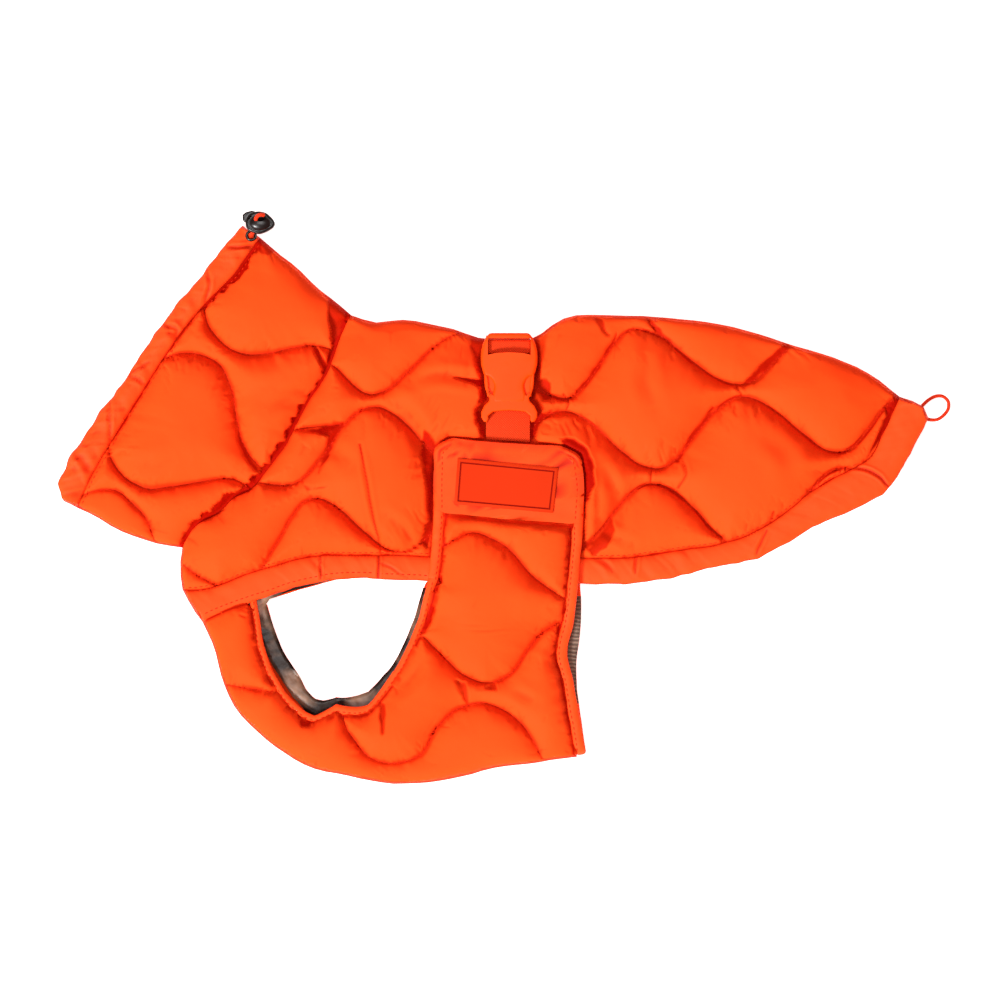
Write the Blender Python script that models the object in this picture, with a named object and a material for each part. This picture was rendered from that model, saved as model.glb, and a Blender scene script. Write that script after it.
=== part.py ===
"""A quilted winter coat for a dog, laid flat on its side.

The head opening points to -X, the tail to +X, the back edge to +Y and the belly to -Y. The far half
lies on the surface at z = 0 and the near half lies on it. Every table is in millimetres, measured
from the middle of the cloth, and the meshes are made in metres.
"""

import math

import bmesh
import bpy
import numpy as np
from mathutils import Vector, geometry

MM = 0.001

# The part's origin lies under the middle of the whole coat, cord lock included.
FRAME_SHIFT_X = 0.0
FRAME_SHIFT_Y = -4.3

# Heights above the surface, in the order in which the layers lie on each other.
FLAP_FAR_TOP = 3.4        # far belly flap, pressed flat under the body
BODY_RECESS = 3.9         # the far body steps up over that flap
FAR_TOP = 8.2             # inner face of every far half
LINING_LOW = 8.5          # lining on the far half
LINING_HIGH = 9.5
NEAR_LOW = 10.5           # inner face of every near half
SEAM_WALL = 3.0           # wall thickness along a quilting seam or an edge
DECK_TOP = 15.4           # highest point of the body where something presses on it
FLAP_LOW = 16.3           # inner face of the near belly flap over the body
YOKE_FLOOR = 20.0         # outer face of the flap under the label yoke
STRAP_THICK = 1.5
STRAP_RECESS = 2.1        # the far body steps up over the webbing

# How the padding swells between the seams.
BODY_PUFF = 11.0
COLLAR_PUFF = 10.0
FLAP_PUFF = 9.0
BAND_PUFF = 2.2
CHANNEL_PUFF = 3.4
PUFF_REACH = 25.0         # distance from a seam at which the padding is fully risen
BAND_REACH = 6.0
FOLD_SOFTNESS = 20.0      # the swelling fades within this distance of a fold
PRESSED_SHARE = 0.14      # share of the swelling that is left under the flap and the buckle
PRESSED_RUN = (2.0, 15.0)  # the swelling comes back this far outside a pressed zone, over this length
COLLAR_REACH = 22.0
FLAP_REACH = 22.0
BAND_DROP = 0.6           # a hem band's edges lie this much lower than a quilting seam
YOKE_RUN = (9.0, 12.0)    # the flap swells this far below the yoke, over this length

GATHER = 4.4              # half the spacing of the drawstring channel's gathers
GATHER_RISE = 0.5
CHANNEL_RUN = (0.56, 0.83)  # direction of the head opening's edge

ROLL = 7.0                # how far a fold's rounding reaches into the cloth
SLIT_INSET = 5.0          # the slit between the two halves ends this far from a fold
ROLL_STEPS = 4
GAP = 0.3
FINE = 2.0                # spacing of points along a curve that is only measured from
STEP = 7.5                # spacing of points along an edge
GRID = 7.2                # spacing of points across a quilted face
PLAIN_GRID = 26.0         # spacing of points across a plain face
UNDER_GRID = 14.0         # spacing of points across the body's underside
CLIMB = 22.0              # the flap comes down from the body to the belly over this length
HEM_Y = -45.0             # lowest edge of the body's hem under the flap

BINDING = 6.3             # width of the flap's binding tape
ARM_BINDING = 4.3         # width of the leg opening's binding tape
BINDING_THICK = 3.6
FAR_TAPE_BASE = 3.7       # inner face of the far binding tapes, which lie on the surface
TAPE_STEP = 6.5
LINING_LIFT = 0.9         # the lining rises by this much where the flap comes down from the body

STRAP_X = 8.5             # middle of the webbing
STRAP_WIDTH = 25.0
STRAP_FOLD_Y = 94.2       # the body's back edge under the webbing

# Columns of every outline table: x, y. Each row is one station along the edge.
BACK_EDGE = ((231.5, 61.5), (215.5, 74), (195.5, 83), (165.5, 92.5), (137, 101), (110, 105), (85, 107),
             (59, 108), (41, 106.5), (31, 101), (24, 95), (8.5, 94.2), (-7, 95), (-25.5, 101),
             (-53, 105), (-66, 103.5), (-80.5, 108))
NECK_SEAM = ((-80.5, 108), (-86, 96), (-94.5, 74), (-106, 55.5), (-116, 36.5), (-127, 22),
             (-137, 8.5), (-147.5, 3), (-155.5, -5), (-168.5, -12), (-177, -24))
CHEST_FRONT = ((-177, -24), (-178, -36), (-176.5, -48.5))
HEM_TOP_FRONT = ((-176.5, -48.5), (-167.5, -48.5), (-137.5, -38.5), (-97.5, -29), (-87, -28.5),
                 (-38.5, -29), (7, -30))
HEM_TOP_REAR = ((7, -30), (54.5, -30.5), (82, -29.5), (105, -26), (132, -21.5), (158.5, -10),
                (182, 8), (202, 19.5), (212.5, 25.5), (222, 41.5), (231.5, 61.5))
CHEST_HEM_FRONT = ((-176.5, -48.5), (-172, -57), (-165.5, -66.5))
HEM_LOW_NEAR = ((-165.5, -66.5), (-157, -62.5), (-132.5, -53.5), (-95, -43), (-37.5, -43.5), (7, -44.5))
HEM_LOW_FAR = ((-165.5, -66.5), (-157, -62.5), (-128.5, -54), (-110, -48.5), (-92, -43.5),
               (-37.5, -43.5), (7, -44.5))
HEM_LOW_REAR = ((7, -44.5), (53, -45), (78.5, -44.5), (102, -41.5), (122, -36.5), (152, -29.5),
                (183.5, -12), (209.5, -0.5), (224, 9.5), (237, 29.5), (247.5, 49.5))
TAIL_NOSE = ((247.5, 49.5), (245.5, 55), (231.5, 61.5))
COLLAR_TOP = ((-80.5, 108), (-86.5, 113.5), (-101, 124.5), (-113.5, 137), (-120.5, 142), (-132.5, 152))
CHANNEL_SEAM = ((-132.5, 152), (-147.5, 130.5), (-162, 116), (-178, 97), (-187.5, 82.5), (-197, 68),
                (-208.5, 49.5), (-216.5, 36.5), (-227, 18.5), (-236.5, -1.5))
COLLAR_LOW = ((-236.5, -1.5), (-224.5, -7), (-211.5, -15), (-194.5, -21), (-177, -24))
HEAD_EDGE = ((-142, 158.5), (-163, 133.5), (-187.5, 103.5), (-207.5, 74), (-229, 44.5), (-242.5, 22.5),
             (-247, 10), (-244, 2.5))
BELLY_FOLD = ((-165.5, -66.5), (-159, -80), (-153.5, -100), (-148, -113), (-134.5, -129),
              (-118, -141.5), (-102, -149.5), (-82.5, -154), (-66, -157.5), (-45, -158.5),
              (-25.5, -156), (4, -149), (28.5, -146), (52.5, -143))
FLAP_EDGE_NEAR = ((52.5, -143), (48.5, -113), (45, -96.5), (42, -85), (46, -65.5), (48.5, -46),
                  (51, -14), (51.5, 18), (49.5, 27.5), (40.5, 32.5), (20, 34.5), (-5, 36.3), (-25, 37),
                  (-32, 33), (-33, 20), (-34.5, -14), (-37, -42.5))
ARM_EDGE_NEAR = ((-37, -42.5), (-42, -63), (-47, -77), (-53.5, -89.5), (-59.5, -99), (-69, -110.5),
                 (-81, -117), (-94, -118.5), (-107, -117), (-116.5, -108.5), (-125.5, -92),
                 (-129.5, -79.5), (-131.5, -66.5), (-132.5, -53.9))
FLAP_EDGE_FAR = ((52.5, -143), (49.5, -113), (47.5, -96.5), (49, -76.5), (50.5, -54), (50, -46),
                 (51, -14), (51.5, 18), (49.5, 27.5), (40.5, 32.5), (20, 34.5), (-5, 36.3), (-25, 37),
                 (-32, 33), (-33, 20), (-34.5, -14), (-38, -42.5))
ARM_EDGE_FAR = ((-38, -42.5), (-42.5, -57.5), (-50.5, -79.5), (-62, -97.5), (-77, -109), (-92, -113),
                (-104, -108), (-111, -97), (-117.5, -86.5), (-123.5, -72), (-128.5, -54.4))

# Quilting waves of the body. Columns: x, y of each crest or trough, which half waves join.
BODY_WAVES = (
    ((-98, 82), (-70, 62.5), (-17, 97), (41, 60), (80, 99.5), (140, 68), (186, 100)),
    ((-150, 16), (-118, 11), (-68, 55.5), (-15, 19), (40.5, 53), (92, 20.5), (141, 61.5), (197, 30),
     (236, 64)),
    ((-140, -42), (-103, 4), (-52, -27), (-13, 2), (40, -30), (90, 12), (146, -26), (199, 21), (228, 10)),
)
# Shorter seams and deep folds. Columns: x, y of points on a smooth curve.
BODY_SEAMS = (
    ((-180, -31), (-165.5, -41.5), (-155.5, -45.5), (-141, -41)),
    ((85, 109), (92, 99), (102, 89.5)),
    ((-111.5, 43), (-87.5, 45.5)),
)
COLLAR_SEAMS = (
    ((-165, 118), (-160, 99), (-145, 86), (-132.5, 85), (-103, 90.5), (-84, 86)),
    ((-192, 80), (-178, 86), (-165.5, 85), (-155.5, 79.5), (-149.5, 68), (-145.5, 50.5), (-142, 34.5),
     (-124, 14)),
    ((-219, 38), (-216.5, 25), (-210, 16), (-197, 9), (-184.5, 10), (-165.5, 13), (-147.5, 15),
     (-134, 6)),
    ((-238, 3), (-226, 8), (-214.5, 8), (-205, 1), (-197, -8), (-191, -24)),
)
FLAP_SEAMS = (
    ((-36, -38), (-27.5, -23.5), (-12.5, -16), (0.5, -19.5), (25, -42.5), (46, -57)),
    ((-44, -70), (-32, -82), (-17, -96), (-4, -101.5), (5.5, -99), (28.5, -72), (45, -63)),
    ((-90, -113), (-79, -134), (-69.5, -143.5), (-54.5, -146.5), (-41.5, -142), (-32, -126),
     (-20.5, -116), (-5.5, -112.5), (7.5, -117), (26.5, -140.5), (30, -150)),
    ((-153, -102), (-121, -107.5)),
)

YOKE_LOW = ((-33, -4.5), (8.5, -8.5), (50, -11.7))
LABEL_CORNERS = ((-22, 0.5), (34, -4.5), (37, 21), (-20, 26.5))
# Rings of the label's raised double frame. Columns: width of the ring, rise at its inner edge.
LABEL_RINGS = ((0.9, 0.0), (0.5, 0.6), (0.9, 0.0), (0.5, -0.6), (1.5, 0.0), (0.4, 0.4), (0.6, 0.0),
               (0.4, -0.4))
LABEL_THICK = 1.4
YOKE_THICK = 1.3

# Right half of the buckle's two pieces. Columns: distance from the middle of the webbing, y.
SOCKET_HALF = ((9.2, 61), (9.2, 78.6), (14.4, 80.6), (15.8, 84), (16.2, 88), (15.8, 92.5), (14.2, 96),
               (11.5, 97.5))
PRONG_HALF = ((11.2, 51.5), (11.7, 48.4), (13, 46.8), (14.8, 47.5), (15.9, 50.6), (15.9, 54.5),
              (14.2, 59.5), (12.7, 63.5), (12.4, 68), (12.9, 74), (13.8, 79.4), (9.6, 77.9), (9.6, 60.7))
PRONG_ARCH_Y = 53.8
BUCKLE_THICK = 8.6
BUCKLE_EDGE = 1.1
SLOT_HALF_WIDTH = 12.1
SLOT_Y = (85.2, 94.8)

LOCK_CENTRE = (-132.5, 160.0)
# Outline of the cord lock's body. Columns: x, y from its centre.
LOCK_OUTLINE = ((-6.4, -4.6), (-1, -6.6), (4.5, -6), (9.2, -1.6), (9.2, 0.2), (6.4, 3.4), (2.4, 6.2),
                (-2.6, 6.4), (-6.2, 3.8), (-7.4, 0))
LOCK_BUTTON = ((-10.6, 0.4), (-7.8, 0.2), (-6.6, 4.2), (-4.8, 6.2), (-8.4, 5.2), (-10.8, 3.4))
LOCK_THICK = 7.0
LOCK_LIFT = 3.7
CORD_RADIUS = 1.1
LOCK_HOLE = CORD_RADIUS + GAP
KNOT_RADIUS = 2.4
KNOT_FLATNESS = 0.62
EYELET_CENTRE = (-140.6, 149.4)
EYELET_RADIUS = 2.3
EYELET_THICK = 0.6

# Route of the elastic loop at the tail. Columns: x, y, z.
TAIL_LOOP = ((244.2, 56.5, 6.6), (247.6, 59.6, 6.0), (252.4, 62.0, 4.6), (256.4, 61.8, 3.1),
             (259.3, 59.0, 2.0), (259.4, 55.0, 1.9), (256.6, 51.0, 2.9), (252.6, 48.6, 4.4),
             (248.4, 48.7, 5.8))
LOOP_RADIUS = 1.0

CLOTH = (0.95, 0.12, 0.02, 1.0)
TAPE = (0.9, 0.1, 0.02, 1.0)
LINING = (0.04, 0.03, 0.022, 1.0)
ORANGE_PLASTIC = (1.0, 0.13, 0.01, 1.0)
BLACK_PLASTIC = (0.02, 0.022, 0.024, 1.0)


# ---------------------------------------------------------------- curves

def evenly(points, count):
    """Resample a polyline to a number of evenly spaced points, its ends kept."""
    points = np.asarray(points, float)
    along = np.concatenate([[0.0], np.cumsum(np.linalg.norm(np.diff(points, axis=0), axis=1))])
    stops = np.linspace(0.0, along[-1], count)
    return np.stack([np.interp(stops, along, column) for column in points.T], axis=1)


def length_of(points):
    """Length of a polyline."""
    return float(np.linalg.norm(np.diff(np.asarray(points, float), axis=0), axis=1).sum())


def smooth(table, step=FINE):
    """Smooth curve through a table's points, as points about one step apart."""
    points = np.asarray(table, float)
    if len(points) > 2:
        spans = np.linalg.norm(np.diff(points, axis=0), axis=1)[:, None]
        slopes = np.diff(points, axis=0) / spans
        inner = (slopes[:-1] * spans[1:] + slopes[1:] * spans[:-1]) / (spans[:-1] + spans[1:])
        tangents = np.vstack([slopes[:1], inner, slopes[-1:]])
        dense = []
        for i, span in enumerate(spans[:, 0]):
            for t in np.linspace(0.0, 1.0, 12, endpoint=False):
                rise = t * t * (3 - 2 * t)
                leave = t * (1 - t) ** 2 * span
                arrive = t * t * (t - 1) * span
                dense.append(points[i] * (1 - rise) + points[i + 1] * rise
                             + tangents[i] * leave + tangents[i + 1] * arrive)
        points = np.vstack([dense, points[-1:]])
    return evenly(points, max(2, round(length_of(points) / step) + 1))


def waves(table, step=FINE):
    """Half waves between a table's crests and troughs."""
    dense = []
    for (x0, y0), (x1, y1) in zip(table[:-1], table[1:]):
        for t in np.linspace(0.0, 1.0, 16, endpoint=False):
            dense.append((x0 + (x1 - x0) * t, y0 + (y1 - y0) * (1 - math.cos(math.pi * t)) / 2))
    dense.append(table[-1])
    return evenly(dense, max(2, round(length_of(dense) / step) + 1))


def normals(points):
    """Unit normals to the left of a polyline, one for each point."""
    ahead = np.gradient(np.asarray(points, float), axis=0)
    ahead /= np.linalg.norm(ahead, axis=1)[:, None]
    return np.stack([-ahead[:, 1], ahead[:, 0]], axis=1)


def shifted(points, distance):
    """A polyline moved to its left."""
    return np.asarray(points, float) + normals(points) * distance


def trimmed(points, start, end, step=FINE):
    """A polyline shortened at its ends, its points about one step of the whole length apart."""
    points = np.asarray(points, float)
    along = np.concatenate([[0.0], np.cumsum(np.linalg.norm(np.diff(points, axis=0), axis=1))])
    stops = np.linspace(start, along[-1] - end, max(2, round(along[-1] / step) + 1))
    return np.stack([np.interp(stops, along, column) for column in points.T], axis=1)


def distance_to(lines, points):
    """Shortest distance from each point to any of the polylines."""
    best = np.full(len(points), 1e9)
    for line in lines:
        start, run = np.asarray(line[:-1], float), np.diff(np.asarray(line, float), axis=0)
        offset = points[:, None, :] - start[None]
        share = (offset * run).sum(2) / np.maximum((run * run).sum(1), 1e-12)
        nearest = offset - np.clip(share, 0, 1)[..., None] * run
        best = np.minimum(best, np.sqrt((nearest ** 2).sum(2)).min(1))
    return best


def inside(polygon, points):
    """Whether each point lies inside a closed polygon."""
    result = np.zeros(len(points), bool)
    x, y = points[:, 0], points[:, 1]
    for (x0, y0), (x1, y1) in zip(polygon, np.roll(polygon, -1, axis=0)):
        crosses = (y0 > y) != (y1 > y)
        slope = (x1 - x0) / (y1 - y0) if y1 != y0 else 0.0
        result ^= crosses & (x < x0 + slope * (y - y0))
    return result


def outside_by(polygon, points):
    """Distance of each point outside a closed polygon, negative inside it."""
    closed = np.vstack([polygon, polygon[:1]])
    distance = distance_to([closed], points)
    return np.where(inside(polygon, points), -distance, distance)


def eased(value):
    """Smooth step from 0 to 1."""
    value = np.clip(value, 0.0, 1.0)
    return value * value * (3 - 2 * value)


def dome(distance, reach):
    """Rise of the padding with the distance from a seam, from 0 to 1."""
    return np.sqrt(1 - (1 - np.clip(distance / reach, 0, 1)) ** 2)


# ---------------------------------------------------------------- meshes

def material(name, colour, roughness, metallic=0.0):
    """Principled material, made once for each name."""
    found = bpy.data.materials.get(name)
    if found:
        return found
    made = bpy.data.materials.new(name)
    made.use_nodes = True
    shader = made.node_tree.nodes["Principled BSDF"]
    shader.inputs["Base Color"].default_value = colour
    shader.inputs["Roughness"].default_value = roughness
    shader.inputs["Metallic"].default_value = metallic
    made.diffuse_color = colour
    return made


def in_frame(point):
    """A table's point in metres, in the part's own frame."""
    return ((point[0] + FRAME_SHIFT_X) * MM, (point[1] + FRAME_SHIFT_Y) * MM, point[2] * MM)


def add_object(name, mesh, finish):
    """Link a mesh as a named object with its own material."""
    mesh.materials.append(finish)
    made = bpy.data.objects.new(name, mesh)
    bpy.context.collection.objects.link(made)
    mesh.shade_smooth()
    mesh.set_sharp_from_angle(angle=math.radians(40))
    return made


def solid(name, points, faces, finish):
    """Closed mesh from points in millimetres and faces, its normals turned outwards."""
    mesh = bpy.data.meshes.new(name)
    mesh.from_pydata([in_frame(p) for p in points], [], faces)
    build = bmesh.new()
    build.from_mesh(mesh)
    bmesh.ops.recalc_face_normals(build, faces=build.faces)
    build.to_mesh(mesh)
    build.free()
    return add_object(name, mesh, finish)


def triangles(loop, grid, seams=()):
    """Triangulate a closed outline with seam points and an even grid inside it.

    Returns the points inside the outline and the triangles, whose first indices are the outline's.
    """
    loop = np.asarray(loop, float)
    closed = np.vstack([loop, loop[:1]])
    chosen = np.zeros((0, 2))
    ties = []
    for seam in seams:
        row = evenly(seam, max(2, round(length_of(seam) / (grid * 0.85)) + 1))
        keep = inside(loop, row) & (distance_to([closed], row) > grid * 0.5)
        middles = (row[:-1] + row[1:]) / 2
        tied = keep[:-1] & keep[1:]
        if len(chosen):
            keep &= np.linalg.norm(row[:, None] - chosen[None], axis=2).min(1) > grid * 0.5
            tied &= keep[:-1] & keep[1:]
            tied &= np.linalg.norm(middles[:, None] - chosen[None], axis=2).min(1) > grid * 0.5
        place = len(loop) + len(chosen) + np.cumsum(keep) - 1
        ties += [(int(place[i]), int(place[i + 1])) for i in np.flatnonzero(tied)]
        chosen = np.vstack([chosen, row[keep]])
    low, high = loop.min(0), loop.max(0)
    rows = np.arange(low[1], high[1], grid * math.sqrt(3) / 2)
    columns = np.arange(low[0], high[0], grid)
    net = np.array([(x + (i % 2) * grid / 2, y) for i, y in enumerate(rows) for x in columns])
    net = net[inside(loop, net)]
    net = net[distance_to([closed], net) > grid * 0.55]
    if len(chosen) and len(net):
        net = net[np.linalg.norm(net[:, None] - chosen[None], axis=2).min(1) > grid * 0.62]
    extra = np.vstack([chosen, net])
    points = [Vector(p) for p in np.vstack([loop, extra])]
    outline = [list(range(len(loop)))]
    out, _, faces, origins, _, _ = geometry.delaunay_2d_cdt(points, ties, outline, 1, 1e-6)
    if len(out) != len(points):
        raise ValueError("an outline crosses itself or two points coincide")
    back = [origin[0] for origin in origins]
    return extra, [tuple(back[i] for i in face) for face in faces]


class Shell:
    """Points and faces of one closed wall under construction."""

    def __init__(self):
        self.points = []
        self.faces = []

    def add(self, flat, heights):
        """Add points and return their indices."""
        first = len(self.points)
        self.points += [(x, y, z) for (x, y), z in zip(flat, heights)]
        return list(range(first, len(self.points)))

    def face(self, loop, height, grid, seams=()):
        """Add one face of the wall and return the indices of its outline."""
        extra, made = triangles(loop, grid, seams)
        flat = np.vstack([loop, extra])
        index = self.add(flat, height(flat))
        self.faces += [tuple(index[i] for i in tri) for tri in made]
        return index[:len(loop)]

    def strip(self, row, other):
        """Join two rows of points with quads."""
        for i in range(len(row) - 1):
            self.faces.append((row[i], row[i + 1], other[i + 1], other[i]))


def half_loop(folds, runs, inset, step):
    """Outline of one half with its folds moved in, and where each fold and run lies in it."""
    count = len(folds)
    cut = []
    for run in runs:
        last = len(run) - 1
        ends = [(ROLL if i == 0 else 0.0, ROLL if i == last else 0.0) for i in range(last + 1)]
        pieces = [trimmed(piece, start, end, step) for piece, (start, end) in zip(run, ends)]
        cut.append(np.vstack([pieces[0]] + [piece[1:] for piece in pieces[1:]]))
        cut[-1][0] = trimmed(run[0], inset, 0.0)[0]
        cut[-1][-1] = trimmed(run[-1], 0.0, inset)[-1]
    loop, fold_at, run_at = [], [], []
    for k in range(count):
        moved = shifted(folds[k], inset)
        moved[0] = cut[k - 1][-1]
        moved[-1] = cut[k][0]
        fold_at.append(list(range(len(loop), len(loop) + len(moved))))
        loop += list(moved)
        middle = cut[k][1:-1]
        ends = fold_at[-1][-1]
        run_at.append(list(range(ends, ends + len(middle) + 2)))
        loop += list(middle)
    run_at[-1][-1] = 0
    return np.array(loop), fold_at, run_at


def folded_panel(name, folds, near_runs, far_runs, heights, finish, seams=(), grid=GRID, step=STEP,
                 plain=PLAIN_GRID):
    """Cloth folded over: a near and a far half, joined round each fold and open along each run.

    heights holds four functions of points: near outer, near inner, far inner and far outer face.
    """
    near_high, near_low, far_high, far_low = heights
    folds = [evenly(fold, max(2, round(length_of(fold) / step) + 1)) for fold in folds]
    for k, fold in enumerate(folds):
        fold[0] = near_runs[k - 1][-1][-1]
        fold[-1] = near_runs[k][0][0]
    shell = Shell()
    near_out, fold_at, near_at = half_loop(folds, near_runs, ROLL, step)
    near_in = half_loop(folds, near_runs, SLIT_INSET, step)[0]
    far_out, far_fold_at, far_at = half_loop(folds, far_runs, ROLL, step)
    far_in = half_loop(folds, far_runs, SLIT_INSET, step)[0]
    top = shell.face(near_out, near_high, grid, seams)
    under = shell.face(near_in, near_low, plain)
    over = shell.face(far_in, far_high, plain)
    base = shell.face(far_out, far_low, UNDER_GRID)
    for run in near_at:
        shell.strip([top[i] for i in run], [under[i] for i in run])
    for run in far_at:
        shell.strip([over[i] for i in run], [base[i] for i in run])
    for fold, near_range, far_range in zip(folds, fold_at, far_fold_at):
        upper = [top[i] for i in near_range]
        lower = [base[i] for i in far_range]
        rows = [upper]
        for j in range(1, ROLL_STEPS):
            angle = math.pi * (0.5 - j / ROLL_STEPS)
            made = []
            for i, edge in enumerate(fold):
                high = shell.points[upper[i]]
                low = shell.points[lower[i]]
                middle = (high[2] + low[2]) / 2
                end = high if angle >= 0 else low
                share = math.cos(angle)
                height = middle + (high[2] - low[2]) / 2 * math.sin(angle)
                x, y = (end[k] + (edge[k] - end[k]) * share for k in (0, 1))
                made.append((x, y, height))
            rows.append(shell.add([p[:2] for p in made], [p[2] for p in made]))
        rows.append(lower)
        for one, two in zip(rows[:-1], rows[1:]):
            shell.strip(one, two)
        slit_top = [under[i] for i in near_range]
        slit_base = [over[i] for i in far_range]
        shell.strip(slit_top, slit_base)
        for end in (0, -1):
            rim = [row[end] for row in rows]
            middle = len(rim) // 2
            for a, b in zip(rim[:middle], rim[1:middle + 1]):
                shell.faces.append((slit_top[end], a, b))
            shell.faces.append((slit_top[end], rim[middle], slit_base[end]))
            for a, b in zip(rim[middle:-1], rim[middle + 1:]):
                shell.faces.append((slit_base[end], a, b))
    return solid(name, shell.points, shell.faces, finish)


def slab(name, loop, low, high, finish, grid=PLAIN_GRID):
    """Single layer of cloth between two height functions."""
    shell = Shell()
    top = shell.face(loop, high, grid)
    base = shell.face(loop, low, grid)
    shell.strip(top + top[:1], base + base[:1])
    return solid(name, shell.points, shell.faces, finish)


def sweep(name, stations, section, finish):
    """Bar with one cross-section along stations.

    A station is its point, the direction of the section's width and the direction of its thickness,
    and how wide it is. The section's rows are width share and thickness in millimetres.
    """
    points, faces = [], []
    size = len(section)
    for point, across, out, width in stations:
        for share, thick in section:
            beside = np.asarray(across) * width * share
            points.append(tuple(np.asarray(point) + beside + np.asarray(out) * thick))
    for i in range(len(stations) - 1):
        for j in range(size):
            a, b = i * size + j, i * size + (j + 1) % size
            faces.append((a, b, b + size, a + size))
    faces.append(tuple(range(size)))
    faces.append(tuple(range(len(points) - size, len(points))))
    return solid(name, points, faces, finish)


def plate(name, outline, low, thick, edge, finish):
    """Hard flat piece with a rounded upper edge, from an outline."""
    build = bmesh.new()
    corners = [build.verts.new(in_frame((x, y, low))) for x, y in outline]
    base = build.faces.new(corners)
    raised = bmesh.ops.extrude_face_region(build, geom=[base])["geom"]
    upper = [v for v in raised if isinstance(v, bmesh.types.BMVert)]
    bmesh.ops.translate(build, verts=upper, vec=(0, 0, thick * MM))
    rim = [e for e in build.edges if all(v in upper for v in e.verts)]
    bmesh.ops.bevel(build, geom=rim, offset=edge * MM, segments=2, profile=0.6, affect='EDGES')
    bmesh.ops.recalc_face_normals(build, faces=build.faces)
    mesh = bpy.data.meshes.new(name)
    build.to_mesh(mesh)
    build.free()
    return add_object(name, mesh, finish)


def cut(target, name, shape):
    """Cut a hidden cutter out of a piece."""
    shape.name = name
    shape.hide_render = True
    shape.display_type = 'WIRE'
    modifier = target.modifiers.new("Cut", 'BOOLEAN')
    modifier.object = shape
    modifier.operation = 'DIFFERENCE'


# ---------------------------------------------------------------- heights of the cloth

def level(value):
    """Constant height."""
    return lambda points: np.full(len(points), float(value))


# Zones of the body that are pressed flat, and corners of each: x, y.
STRAP_ZONE = np.array([(STRAP_X - 17, 30), (STRAP_X + 17, 30), (STRAP_X + 17, 110), (STRAP_X - 17, 110)])
FLAP_ZONE = np.array([(-40, -60), (54, -60), (53, 34), (-30, 38)])


def pressed(points):
    """Share of the swelling left where the flap or the buckle presses on the body."""
    apart = np.minimum(outside_by(FLAP_ZONE, points), outside_by(STRAP_ZONE, points))
    return PRESSED_SHARE + (1 - PRESSED_SHARE) * eased((apart - PRESSED_RUN[0]) / PRESSED_RUN[1])


def swelling(points, seams, edges, folds, puff, reach):
    """Height of the padding above the seam level."""
    rise = puff * dome(distance_to(list(seams) + list(edges), points), reach)
    from_fold = distance_to([shifted(fold, ROLL) for fold in folds], points)
    return rise * (0.4 + 0.6 * eased(from_fold / FOLD_SOFTNESS))


def body_recess(points):
    """Underside of the far body, which steps up over the far flap and the webbing."""
    over_flap = outside_by(FLAP_ZONE, points) < UNDER_GRID + 1
    over_strap = outside_by(STRAP_ZONE, points) < UNDER_GRID - 3
    return np.where(over_flap, BODY_RECESS, np.where(over_strap, STRAP_RECESS, 0.0))


def climb(points):
    """1 where the flap lies over the body, 0 on the belly and at the chest."""
    over = eased((points[:, 1] - (HEM_Y - 4 - CLIMB)) / CLIMB)
    return np.where(points[:, 0] > -70, over, 0.0)


def flap_under(points):
    """Inner face of the near chest panel."""
    return NEAR_LOW + (FLAP_LOW - NEAR_LOW) * climb(points)


def far_flap_top(points):
    """Inner face of the far chest panel."""
    return FAR_TOP + (FLAP_FAR_TOP - FAR_TOP) * climb(points)


# ---------------------------------------------------------------- the coat's pieces

def make_back_panel(finish):
    """Body of the coat: one padded piece folded along the back, with wave quilting."""
    back, chest = smooth(BACK_EDGE), smooth(CHEST_FRONT)
    neck = shifted(smooth(NECK_SEAM), GAP / 2)
    hem = [shifted(smooth(HEM_TOP_FRONT), GAP / 2), shifted(smooth(HEM_TOP_REAR), GAP / 2)]
    seams = [waves(row) for row in BODY_WAVES] + [smooth(row) for row in BODY_SEAMS]

    def outer(points):
        rise = swelling(points, seams, [neck] + hem, [back, chest], BODY_PUFF, PUFF_REACH)
        return NEAR_LOW + SEAM_WALL + rise * pressed(points)

    heights = (outer, level(NEAR_LOW), level(FAR_TOP), body_recess)
    runs = [[neck], hem]
    return folded_panel("back_panel", [back, chest], runs, runs, heights, finish, seams)


def make_collar(finish):
    """Collar: a padded piece folded at the top of the neck and at the throat."""
    top, low = smooth(COLLAR_TOP), smooth(COLLAR_LOW)
    channel = shifted(smooth(CHANNEL_SEAM), GAP / 2)
    neck = shifted(smooth(NECK_SEAM)[::-1], GAP / 2)
    seams = [smooth(row) for row in COLLAR_SEAMS]

    def outer(points):
        rise = swelling(points, seams, [channel, neck], [top, low], COLLAR_PUFF, COLLAR_REACH)
        return NEAR_LOW + SEAM_WALL + rise

    heights = (outer, level(NEAR_LOW), level(FAR_TOP), level(0.0))
    runs = [[channel], [neck]]
    return folded_panel("collar", [top, low], runs, runs, heights, finish, seams)


def channel_outer(points):
    """Outer face of the gathered drawstring channel."""
    rise = CHANNEL_PUFF * dome(distance_to([smooth(HEAD_EDGE), smooth(CHANNEL_SEAM)], points), BAND_REACH)
    along = points @ np.array(CHANNEL_RUN)
    return NEAR_LOW + SEAM_WALL - BAND_DROP + rise + GATHER_RISE * np.cos(along * math.pi / GATHER)


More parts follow.
